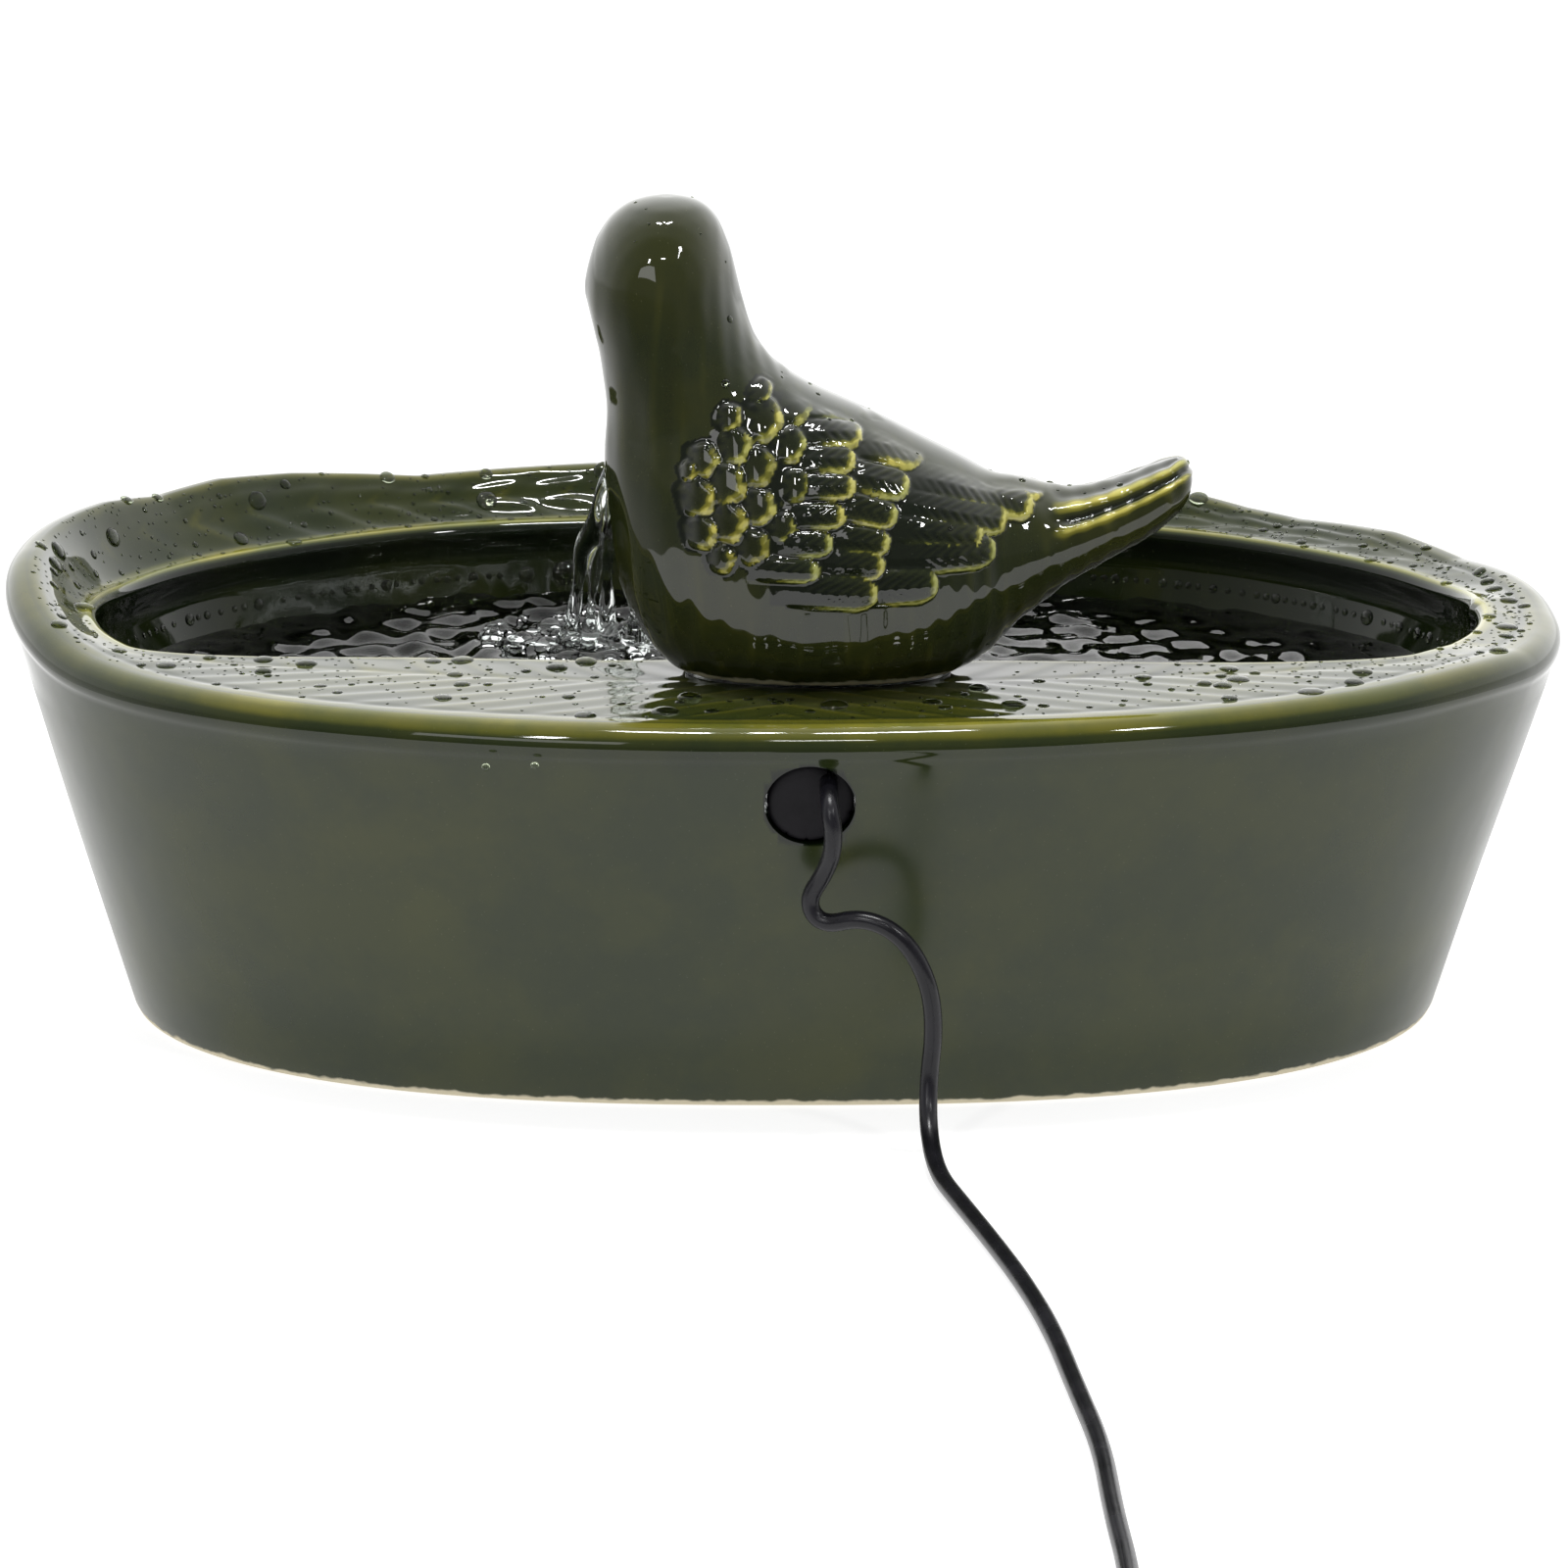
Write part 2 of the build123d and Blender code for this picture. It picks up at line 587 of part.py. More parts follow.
def make_suction_cups():
    cups = []
    for x, y in cup_places():
        z = FLOOR_THICK
        skirt = loft([
            (Plane(origin=(x, y, z)) * Circle(CUP_R)).face(),
            (Plane(origin=(x, y, pump_bottom - 1.0)) * Circle(2.4)).face(),
        ])
        hollow = loft([
            (Plane(origin=(x, y, z)) * Circle(CUP_R - 0.9)).face(),
            (Plane(origin=(x, y, z + 1.6)) * Circle(1.6)).face(),
        ])
        collar = rod((x, y, pump_bottom - 1.0), (x, y, pump_bottom), 2.4)
        stem = rod((x, y, pump_bottom - 1.0), (x, y, pump_bottom + 1.5), 1.4)
        cups.append((skirt - hollow + collar + stem).solid())
    return Compound(children=cups)


LEAD_ROUTE = [
    (gland_x, gland_y, pump_top - 3.0),
    (gland_x, gland_y - 0.4, pump_top + 9.0),
    (gland_x + 6.0, gland_y - 1.0, pump_top + 19.0),
    (gland_x + 18.0, gland_y - 4.0, pump_top + 26.5),
    (gland_x + 32.0, gland_y - 11.0, pump_top + 33.0),
]


def make_lead_gland():
    stem = rod((gland_x, gland_y, pump_top - 2.5), (gland_x, gland_y, pump_top), GLAND_R - 0.1)
    taper = loft([
        (Plane(origin=(gland_x, gland_y, pump_top)) * Circle(4.2)).face(),
        (Plane(origin=(gland_x, gland_y, gland_top)) * Circle(2.8)).face(),
    ])
    return stem + taper


def make_inner_lead():
    """Lead that the gland and the plug hold, from the pump out to the plug's face."""
    points = LEAD_ROUTE + [tuple(cord_inside - plug_plane.z_dir * 6.5), tuple(cord_exit)]
    return tube(points, CORD_R, "inner_lead")


def make_cord_run():
    return tube([tuple(cord_exit)] + CORD_ROUTE, CORD_R, "cord_run")


coil_outer = COIL_TURN_R + COIL_WIDTH / 2
coil_top = TIE_THICK + COIL_HEIGHT
coil_x = CORD_ROUTE[-1][0] - coil_outer + CORD_R    # the cord runs into the outermost turn
tail_x = coil_x - 17.0
tail_y = COIL_Y - coil_outer + CORD_R
tail_z = coil_top - CORD_R - 0.6
connector_x = tail_x - 33.0


def coil_section(grow):
    """Rounded section of the wound coil, in the XZ plane of a coil centred on the Z axis."""
    place = Plane.XZ * Pos(COIL_TURN_R, TIE_THICK + COIL_HEIGHT / 2)
    return place * RectangleRounded(COIL_WIDTH + 2 * grow, COIL_HEIGHT + 2 * grow, 3.0 + grow)


def make_cord_coil():
    coil = Pos(coil_x, COIL_Y) * revolve(coil_section(0), axis=Axis.Z)
    route_end = CORD_ROUTE[-1]
    lead_in = rod(route_end, (route_end[0], COIL_Y, route_end[2]), CORD_R)
    lead_out = rod((coil_x, tail_y, tail_z), (tail_x, tail_y, tail_z), CORD_R)
    return coil + lead_in + lead_out


def make_cord_tail():
    points = [
        (tail_x, tail_y, tail_z),
        (tail_x - 8.0, tail_y, tail_z),
        (tail_x - 23.0, tail_y, GRIP_R),
        (connector_x, tail_y, GRIP_R),
    ]
    return tube(points, CORD_R, "cord_tail")


def make_coil_tie():
    band = extrude(coil_section(TIE_THICK) - coil_section(0), amount=TIE_WIDTH / 2, both=True)
    return Location((coil_x, COIL_Y, 0), (0, 0, TIE_ANGLE)) * band - make_cord_coil()


def make_connector_boot():
    plane = Plane(origin=(connector_x, tail_y, GRIP_R), z_dir=(-1, 0, 0))
    boot = loft([
        (plane * Circle(CORD_R + 0.7)).face(),
        (plane.offset(BOOT_LENGTH) * Circle(GRIP_R - 1.2)).face(),
    ])
    for i in range(4):
        for side in (-1, 1):
            cut = Pos(connector_x - 2.4 - 2.6 * i, tail_y, GRIP_R + side * 4.2) * Box(1.2, 12, 4.8)
            boot = boot - cut
    return boot


grip_back = connector_x - BOOT_LENGTH
grip_front = grip_back - GRIP_LENGTH


def make_connector_grip():
    grip = rod((grip_back, tail_y, GRIP_R), (grip_front, tail_y, GRIP_R), GRIP_R)
    grip = fillet(grip.edges().filter_by(GeomType.CIRCLE), 0.8)
    for i in range(5):
        x = grip_back - 5.0 - 2.4 * i
        groove = ring((x, tail_y, GRIP_R), (x - 1.0, tail_y, GRIP_R), GRIP_R + 1, GRIP_R - 0.5)
        grip = grip - groove
    return grip


def make_connector_barrel():
    start = (grip_front, tail_y, GRIP_R)
    end = (grip_front - BARREL_LENGTH, tail_y, GRIP_R)
    return ring(start, end, BARREL_R, BARREL_R - 0.5)


def make_connector_insulator():
    start = (grip_front, tail_y, GRIP_R)
    end = (grip_front - BARREL_LENGTH + 0.2, tail_y, GRIP_R)
    return ring(start, end, BARREL_R - 0.5, 1.05)


NODES = {
    "basin": make_basin,
    "bird": make_bird,
    "bird_seat_ring": make_seat_ring,
    "tube_grommet": make_grommet,
    "delivery_tube": make_delivery_tube,
    "cord_plug": make_cord_plug,
    "pump_housing": make_pump_housing,
    "volute_cover": make_volute_cover,
    "cover_screws": make_cover_screws,
    "chamber_seal": make_chamber_seal,
    "impeller": make_impeller,
    "rotor_magnet": make_rotor_magnet,
    "rotor_shaft": make_rotor_shaft,
    "rear_bush": make_rear_bush,
    "front_bush": make_front_bush,
    "stator_core": make_stator_core,
    "stator_coils": make_stator_coils,
    "driver_board": make_driver_board,
    "potting": make_potting,
    "intake_cover": make_intake_cover,
    "foam_filter": make_foam_filter,
    "flow_gate": make_flow_gate,
    "suction_cups": make_suction_cups,
    "lead_gland": make_lead_gland,
    "inner_lead": make_inner_lead,
    "cord_run": make_cord_run,
    "cord_coil": make_cord_coil,
    "cord_tail": make_cord_tail,
    "coil_tie": make_coil_tie,
    "connector_boot": make_connector_boot,
    "connector_grip": make_connector_grip,
    "connector_barrel": make_connector_barrel,
    "connector_insulator": make_connector_insulator,
}

parts = {}
for name, make in NODES.items():
    parts[name] = make()

# The gland grips the lead, so it is cut to it
parts["lead_gland"] = parts["lead_gland"] - parts["inner_lead"]

os.makedirs("parts", exist_ok=True)
for name, part in parts.items():
    export_step(part, os.path.join("parts", name + ".step"))
    box = part.bounding_box()
    print(name, "valid", part.is_valid, "from", tuple(box.min), "to", tuple(box.max))
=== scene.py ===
import bmesh
import bpy
import numpy as np
from math import pi, sin, cos, radians, sqrt
from mathutils import Vector, Matrix


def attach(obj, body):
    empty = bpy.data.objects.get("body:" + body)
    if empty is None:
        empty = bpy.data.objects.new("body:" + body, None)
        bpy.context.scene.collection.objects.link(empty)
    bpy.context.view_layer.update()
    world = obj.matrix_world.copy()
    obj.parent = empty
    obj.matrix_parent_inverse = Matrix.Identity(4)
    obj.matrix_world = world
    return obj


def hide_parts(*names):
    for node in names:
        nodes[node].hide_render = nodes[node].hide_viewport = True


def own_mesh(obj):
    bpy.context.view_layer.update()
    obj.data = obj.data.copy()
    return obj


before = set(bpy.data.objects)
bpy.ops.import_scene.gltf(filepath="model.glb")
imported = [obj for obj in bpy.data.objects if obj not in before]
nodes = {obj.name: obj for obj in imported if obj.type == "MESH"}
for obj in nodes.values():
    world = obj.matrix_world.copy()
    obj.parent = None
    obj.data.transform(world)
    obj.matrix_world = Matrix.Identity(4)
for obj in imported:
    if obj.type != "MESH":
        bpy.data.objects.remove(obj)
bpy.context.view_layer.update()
scene = bpy.context.scene
mm = 0.001
print("frame loaded, pieces:", len(nodes))

shot = {
    "place": (0.0, -1.2143, 0.4001),
    "tiltDown": 0.283,
    "lens": 121.67,
    "sensor": 36.0,
}
stageLook = {
    "roomDark": 0.20,                      # the room is darker on the camera's side
    "farBright": 1.85,                     # and has lit panels low down behind the object
    "roomFade": (-0.80, 0.90),
    "underDark": 0.70,                     # below the level of the table it is dimmer
    "underFade": (-0.04, 0.01),
    "table": (-0.38, 0.34, -0.47, 0.60),   # left, right, front and rear edge
    "tableColour": (0.42, 0.42, 0.42),
    "tableGlow": 0.76,
    "lampsAim": (0.0, -0.05, 0.10),
    # where each light hangs, its width and depth, and its strength
    "lamps": [
        ((-0.155, -0.25, 1.60), (0.16, 0.05), 5.5),
        ((-0.012, -0.22, 1.55), (0.035, 0.05), 1.6),
        ((0.150, -0.25, 1.60), (0.22, 0.045), 6.0),
        ((0.620, -0.80, 0.95), (0.09, 0.10), 2.2),
        ((-0.450, -1.10, 0.95), (0.08, 0.22), 2.6),
        ((0.080, -1.25, 1.15), (0.16, 0.05), 1.2),
        ((-0.900, -2.20, 0.95), (0.90, 0.50), 3.6),
    ],
}


def feed(tree, node, entries):
    # an input takes a constant or another node's output
    for key, value in entries.items():
        if isinstance(value, bpy.types.NodeSocket):
            tree.links.new(value, node.inputs[key])
        else:
            node.inputs[key].default_value = value


def addNode(tree, kind, entries, output=0, **options):
    node = tree.nodes.new("ShaderNode" + kind)
    for key, value in options.items():
        setattr(node, key, value)
    feed(tree, node, entries)
    return node.outputs[output]


def objectPlace(tree):
    return addNode(tree, "TexCoord", {}, "Object")


def addNoise(tree, place, scale, detail, rough=0.5):
    return addNode(tree, "TexNoise", {"Vector": place, "Scale": scale, "Detail": detail, "Roughness": rough})


def addRange(tree, value, start, end, low=0.0, high=1.0, **options):
    return addNode(tree, "MapRange", {
        "Value": value, "From Min": start, "From Max": end, "To Min": low, "To Max": high}, **options)


def addMath(tree, operation, first, second, **options):
    return addNode(tree, "Math", {0: first, 1: second}, operation=operation, **options)


def addBump(tree, height, strength, depth):
    return addNode(tree, "Bump", {"Height": height, "Strength": strength, "Distance": depth})


def addRamp(tree, source, stops):
    node = addNode(tree, "ValToRGB", {"Fac": source}).node
    node.color_ramp.interpolation = "EASE"
    elements = node.color_ramp.elements
    while len(elements) < len(stops):
        elements.new(0.5)
    for element, (place, colour) in zip(elements, stops):
        element.position = place
        element.color = (*colour, 1.0)
    return node.outputs["Color"]


def addMix(tree, share, first, second, **options):
    # of this node's sockets, 0, 6 and 7 and the output 2 are those for colours
    return addNode(tree, "Mix", {0: share, 6: first, 7: second}, 2, data_type="RGBA", **options)


def newFinish(name):
    finish = bpy.data.materials.new(name)
    finish.use_nodes = True
    tree = finish.node_tree
    return finish, tree, tree.nodes["Principled BSDF"]


def smoothAll(piece, corner=None):
    piece.data.polygons.foreach_set("use_smooth", [True] * len(piece.data.polygons))
    if corner:
        split = piece.modifiers.new("corner", "EDGE_SPLIT")
        split.split_angle = radians(corner)


def addObject(name, points, faces, finish, smooth=True):
    mesh = bpy.data.meshes.new(name)
    mesh.from_pydata([tuple(p) for p in points], [], faces)
    mesh.update()
    piece = bpy.data.objects.new(name, mesh)
    scene.collection.objects.link(piece)
    if smooth:
        smoothAll(piece)
    if finish:
        mesh.materials.append(finish)
    return piece


def setCamera(values):
    data = bpy.data.cameras.new("studioCamera")
    data.lens = values["lens"]
    data.sensor_width = values["sensor"]
    data.clip_start = 0.01
    data.clip_end = 60.0
    camera = bpy.data.objects.new("studioCamera", data)
    camera.location = values["place"]
    camera.rotation_euler = (pi / 2 - values["tiltDown"], 0.0, 0.0)
    scene.collection.objects.link(camera)
    scene.camera = camera


def setWorld(values):
    world = bpy.data.worlds.new("paleRoom")
    scene.world = world
    world.use_nodes = True
    tree = world.node_tree
    place = addNode(tree, "TexCoord", {}, "Generated")
    y = addNode(tree, "SeparateXYZ", {"Vector": place}, "Y")
    shade = addRange(tree, y, *values["roomFade"], values["roomDark"], values["farBright"],
                     interpolation_type="SMOOTHSTEP")
    z = addNode(tree, "SeparateXYZ", {"Vector": place}, "Z")
    low = addRange(tree, z, *values["underFade"], values["underDark"])
    # where nothing is in the way it is white
    ray = addNode(tree, "LightPath", {}, "Is Camera Ray")
    pick = addMath(tree, "MAXIMUM", addMath(tree, "MULTIPLY", shade, low), ray)
    feed(tree, tree.nodes["Background"], {"Color": pick})
    scene.view_settings.view_transform = "Standard"


def setTable(values):
    left, right, front, rear = values["table"]
    corners = [(left, front, 0), (right, front, 0), (right, rear, 0), (left, rear, 0)]
    finish, tree, shader = newFinish("paleTable")
    feed(tree, shader, {
        "Base Color": (*values["tableColour"], 1.0), "Roughness": 0.9, "Specular IOR Level": 0.1,
        "Emission Color": (1.0, 1.0, 1.0, 1.0), "Emission Strength": values["tableGlow"]})
    floor = addObject("paleTable", corners, [(0, 1, 2, 3)], finish, smooth=False)


def setLamps(values):
    for i, (place, size, power) in enumerate(values["lamps"]):
        lamp = bpy.data.lights.new("ceilingLight%d" % i, "AREA")
        lamp.shape = "RECTANGLE"
        lamp.size, lamp.size_y = size
        lamp.energy = power
        holder = bpy.data.objects.new("ceilingLight%d" % i, lamp)
        holder.location = place
        aim = Vector(values["lampsAim"]) - Vector(place)
        holder.rotation_euler = aim.to_track_quat("-Z", "Y").to_euler()
        scene.collection.objects.link(holder)


setCamera(shot)
setWorld(stageLook)
setTable(stageLook)
setLamps(stageLook)
print("camera and lights set")


def storeMap(piece, name, values):
    layer = piece.data.attributes.get(name) or piece.data.attributes.new(name, "FLOAT", "POINT")
    layer.data.foreach_set("value", np.asarray(values, np.float32))


def readPoints(piece, key="co"):
    flat = np.zeros(len(piece.data.vertices) * 3, np.float32)
    piece.data.vertices.foreach_get(key, flat)
    return flat.reshape(-1, 3).astype(float)


def applyModifiers(piece):
    deps = bpy.context.evaluated_depsgraph_get()
    made = bpy.data.meshes.new_from_object(piece.evaluated_get(deps))
    old = piece.data
    piece.modifiers.clear()
    piece.data = made
    made.name = piece.name
    bpy.data.meshes.remove(old)


def cutWith(piece, cutters):
    for cutter in cutters:
        tool = piece.modifiers.new("cut", "BOOLEAN")
        tool.operation = "DIFFERENCE"
        tool.solver = "MANIFOLD"
        tool.object = cutter
    bpy.context.view_layer.update()
    applyModifiers(piece)
    for cutter in cutters:
        bpy.data.objects.remove(cutter)


def ringFaces(rings, sides, first=0, flip=False):
    faces = []
    for k in range(rings - 1):
        low = first + k * sides
        for i in range(sides):
            j = (i + 1) % sides
            a, b, c, d = low + i, low + j, low + sides + j, low + sides + i
            faces.append((a, d, c, b) if flip else (a, b, c, d))
    return faces


def closedFaces(rings, sides):
    last = (rings - 1) * sides
    ends = [tuple(range(sides - 1, -1, -1)), tuple(range(last, last + sides))]
    return ringFaces(rings, sides) + ends


def roundBar(name, start, end, radius, sides=48):
    start, end = Vector(start), Vector(end)
    turn = (end - start).normalized().to_track_quat("Z", "Y").to_matrix()
    points = []
    for middle in (start, end):
        for i in range(sides):
            a = 2 * pi * i / sides
            points.append(middle + turn @ Vector((radius * cos(a), radius * sin(a), 0)))
    return addObject(name, points, closedFaces(2, sides), None, smooth=False)


def ease(low, high, x):
    t = np.clip((np.asarray(x, float) - low) / (high - low), 0, 1)
    return t * t * (3 - 2 * t)


def bell(x, middle, wide):
    return np.exp(-((x - middle) / wide) ** 2)


glazeLook = {
    "deep": (0.0035, 0.0060, 0.0022),      # where the glaze pools
    "body": (0.0215, 0.0290, 0.0075),
    "thin": (0.0880, 0.0900, 0.0110),      # where it begins to break
    "edge": (0.3300, 0.3200, 0.0700),      # over the raised edges
    "clay": (0.6000, 0.5400, 0.3900),
    "mottleSize": 20.0, "mottle": 0.25,
    "speckSize": 620.0, "speckColour": (0.14, 0.15, 0.10),
    "cloudSize": 34.0, "cloudDark": (0.76, 0.83, 0.92), "cloudPale": (1.24, 1.15, 0.90),
    "waveSize": 55.0, "waveDepth": 0.00035,
    "gloss": 0.045, "wallGloss": 0.24,     # the outer wall below the rim is less glossy
    "wallBelow": (0.079, 0.087),
    "clayBelow": 0.0009, "clayWobble": 0.0022, "clayRough": 0.75,
    "bend": 1.46,
}
birdGlazeLook = dict(glazeLook)
birdGlazeLook.update({
    "body": (0.0200, 0.0245, 0.0068),
    "thin": (0.1300, 0.1280, 0.0190),
    "edge": (0.4300, 0.4100, 0.1150),
    "mottleSize": 45.0, "mottle": 0.10,
    "gloss": 0.028, "wallGloss": 0.028,
    "clayBelow": 0.0973,
    "bend": 1.53,
})


def makeGlaze(name, values):
    v = values
    finish, tree, shader = newFinish(name)
    place = objectPlace(tree)
    height = addNode(tree, "Attribute", {}, "Fac", attribute_name="glazeHeight")
    # mottling pushes the breaking line of the glaze a little either way
    mottle = addNoise(tree, place, v["mottleSize"], 5.0, 0.55)
    push = addMath(tree, "SUBTRACT", mottle, 0.5)
    push = addMath(tree, "MULTIPLY", push, v["mottle"])
    level = addMath(tree, "ADD", height, push, use_clamp=True)
    broken = addRamp(tree, level, [
        (0.08, v["deep"]), (0.45, v["body"]), (0.72, v["thin"]), (0.98, v["edge"])])
    # tiny pale specks in the glaze
    speck = addNode(tree, "TexVoronoi", {"Vector": place, "Scale": v["speckSize"], "Randomness": 1.0})
    dot = addRange(tree, speck, 0.10, 0.02, 0.0, 0.35)
    speckled = addMix(tree, dot, broken, (*v["speckColour"], 1.0))
    # broad olive and grey clouds in the glaze
    cloud = addNoise(tree, place, v["cloudSize"], 6.0, 0.62)
    tint = addRamp(tree, cloud, [(0.34, v["cloudDark"]), (0.66, v["cloudPale"])])
    clouded = addMix(tree, 1.0, speckled, tint, blend_type="MULTIPLY")
    # bare clay at the very foot
    z = addNode(tree, "SeparateXYZ", {"Vector": place}, "Z")
    wobble = addNoise(tree, place, 220.0, 2.0)
    low = addMath(tree, "SUBTRACT", z, addMath(tree, "MULTIPLY", wobble, v["clayWobble"]))
    bare = addRange(tree, low, v["clayBelow"] - 0.0003, v["clayBelow"] - 0.0009)
    colour = addMix(tree, bare, clouded, (*v["clay"], 1.0))
    gloss = addRange(tree, z, *v["wallBelow"], v["wallGloss"], v["gloss"])
    # the inner wall is as glossy as the rim
    gloss = addRange(tree, height, 0.22, 0.34, v["gloss"], gloss)
    rough = addRange(tree, bare, 0.0, 1.0, gloss, v["clayRough"])
    bump = addBump(tree, addNoise(tree, place, v["waveSize"], 2.0, 0.4), 0.5, v["waveDepth"])
    feed(tree, shader, {"Base Color": colour, "Roughness": rough, "Normal": bump, "IOR": v["bend"]})
    return finish


glaze = makeGlaze("oliveGlaze", glazeLook)
birdGlaze = makeGlaze("birdGlaze", birdGlazeLook)
# plain moulded, rubber, metal and ceramic finishes of the pump, the plug and the cord
finishLook = {
    "blackRubber": dict(colour=(0.0060, 0.0055, 0.0070), other=(0.0120, 0.0110, 0.0135), rough=0.55,
                        grain=900.0, depth=0.00008, shine=0.16),
    "sealRubber": dict(colour=(0.010, 0.010, 0.010), other=(0.020, 0.020, 0.020), rough=0.55,
                       grain=700.0, depth=0.00004),
    "cordJacket": dict(colour=(0.0050, 0.0048, 0.0066), other=(0.0100, 0.0095, 0.0130), rough=0.24,
                       grain=420.0, depth=0.00005, shine=0.30),
    "pumpPlastic": dict(colour=(0.012, 0.012, 0.013), other=(0.026, 0.026, 0.028), rough=0.38,
                        grain=1500.0, depth=0.00005),
    "coverPlastic": dict(colour=(0.022, 0.022, 0.024), other=(0.042, 0.042, 0.045), rough=0.45,
                         grain=1300.0, depth=0.00006),
    "whitePlastic": dict(colour=(0.66, 0.65, 0.61), other=(0.76, 0.75, 0.72), rough=0.34,
                         grain=900.0, depth=0.00003),
    "whiteCeramic": dict(colour=(0.78, 0.77, 0.74), other=(0.86, 0.85, 0.83), rough=0.16,
                         grain=600.0, depth=0.00001),
    "magnetDark": dict(colour=(0.045, 0.044, 0.046), other=(0.085, 0.083, 0.086), rough=0.48,
                       grain=2200.0, depth=0.00004, metal=0.35),
    "stainless": dict(colour=(0.52, 0.51, 0.49), other=(0.64, 0.63, 0.61), rough=0.24,
                      grain=1600.0, depth=0.00002, metal=1.0),
    "steelCore": dict(colour=(0.30, 0.30, 0.31), other=(0.42, 0.42, 0.43), rough=0.34,
                      grain=1200.0, depth=0.00003, metal=1.0),
    "nickelPlate": dict(colour=(0.62, 0.59, 0.53), other=(0.72, 0.69, 0.63), rough=0.18,
                        grain=1500.0, depth=0.00001, metal=1.0),
    "pottingResin": dict(colour=(0.008, 0.008, 0.009), other=(0.016, 0.016, 0.018), rough=0.12,
                         grain=150.0, depth=0.00012),
    "tiePlastic": dict(colour=(0.015, 0.015, 0.016), other=(0.030, 0.030, 0.032), rough=0.40,
                       grain=1100.0, depth=0.00003),
    "connectorPlastic": dict(colour=(0.012, 0.012, 0.013), other=(0.024, 0.024, 0.026), rough=0.36,
                             grain=1300.0, depth=0.00005),
    "insulatorPlastic": dict(colour=(0.05, 0.05, 0.05), other=(0.09, 0.09, 0.09), rough=0.40,
                             grain=900.0, depth=0.00002),
}


def makeMoulded(name, values):
    v = {"metal": 0.0, "shine": 0.5, **values}
    finish, tree, shader = newFinish(name)
    place = objectPlace(tree)
    cloud = addNoise(tree, place, 90.0, 4.0, 0.6)
    grain = addNoise(tree, place, v["grain"], 2.0)
    feed(tree, shader, {
        "Base Color": addRamp(tree, cloud, [(0.30, v["colour"]), (0.72, v["other"])]),
        "Roughness": addRange(tree, cloud, 0.25, 0.75, v["rough"] - 0.05, v["rough"] + 0.09),
        "Normal": addBump(tree, grain, 0.6, v["depth"]),
        "Metallic": v["metal"], "Specular IOR Level": v["shine"]})
    return finish


def makeFoam():
    finish, tree, shader = newFinish("filterFoam")
    cells = addNode(tree, "TexVoronoi", {"Vector": objectPlace(tree), "Scale": 780.0})
    feed(tree, shader, {
        "Base Color": addRamp(tree, cells, [(0.15, (0.004, 0.004, 0.004)), (0.60, (0.050, 0.050, 0.052))]),
        "Normal": addBump(tree, cells, 1.0, 0.0008),
        "Roughness": 0.9})
    return finish


def makeBoard():
    finish, tree, shader = newFinish("circuitBoard")
    tracks = addNode(tree, "TexBrick", {
        "Vector": objectPlace(tree), "Scale": 260.0, "Mortar Size": 0.03,
        "Color1": (0.010, 0.075, 0.030, 1), "Color2": (0.014, 0.095, 0.040, 1),
        "Mortar": (0.030, 0.150, 0.060, 1)}, "Color")
    feed(tree, shader, {"Base Color": tracks, "Roughness": 0.28})
    return finish


def makeCopper():
    finish, tree, shader = newFinish("copperWire")
    turns = addNode(tree, "TexWave", {
        "Vector": objectPlace(tree), "Scale": 420.0, "Distortion": 0.6, "Detail": 1.0},
        "Fac", wave_type="BANDS", bands_direction="X")
    feed(tree, shader, {
        "Base Color": addRamp(tree, turns, [(0.1, (0.10, 0.025, 0.008)), (0.7, (0.62, 0.22, 0.085))]),
        "Normal": addBump(tree, turns, 0.9, 0.0002),
        "Metallic": 0.9, "Roughness": 0.3})
    return finish


def makeClear(name, colour, rough, ior, wavy=0.0):
    finish, tree, shader = newFinish(name)
    feed(tree, shader, {
        "Base Color": (*colour, 1.0), "Transmission Weight": 1.0, "IOR": ior, "Roughness": rough})
    if wavy:
        cloud = addNoise(tree, objectPlace(tree), 300.0, 2.0)
        feed(tree, shader, {"Normal": addBump(tree, cloud, 0.4, wavy)})
    return finish


finishes = {name: makeMoulded(name, values) for name, values in finishLook.items()}
finishes["filterFoam"] = makeFoam()
finishes["circuitBoard"] = makeBoard()
finishes["copperWire"] = makeCopper()
finishes["clearTube"] = makeClear("clearTube", (0.86, 0.90, 0.88), 0.08, 1.45, 0.00008)
finishes["clearSilicone"] = makeClear("clearSilicone", (0.80, 0.82, 0.80), 0.32, 1.41, 0.0001)
water = makeClear("water", (0.96, 0.98, 0.97), 0.02, 1.333)
# painted shade: the drops are tinted dark green, standing in for the dark glaze seen through them
beadWater = makeClear("beadWater", (0.50, 0.56, 0.40), 0.0, 1.36)

nodeFinish = {
    "bird_seat_ring": "clearSilicone", "tube_grommet": "blackRubber", "delivery_tube": "clearTube",
    "pump_housing": "pumpPlastic", "volute_cover": "pumpPlastic", "cover_screws": "stainless",
    "chamber_seal": "sealRubber", "impeller": "whitePlastic", "rotor_magnet": "magnetDark",
    "rotor_shaft": "whiteCeramic", "rear_bush": "sealRubber", "front_bush": "sealRubber",
    "stator_core": "steelCore", "stator_coils": "copperWire", "driver_board": "circuitBoard",
    "potting": "pottingResin", "intake_cover": "coverPlastic", "foam_filter": "filterFoam",
    "flow_gate": "whitePlastic", "suction_cups": "sealRubber", "lead_gland": "sealRubber",
    "inner_lead": "cordJacket", "coil_tie": "tiePlastic", "connector_boot": "connectorPlastic",
    "connector_grip": "connectorPlastic", "connector_barrel": "nickelPlate",
    "connector_insulator": "insulatorPlastic",
}
for name, finishName in nodeFinish.items():
    mesh = nodes[name].data
    mesh.materials.clear()
    mesh.materials.append(finishes[finishName])
print("finishes made:", len(finishes) + 4)

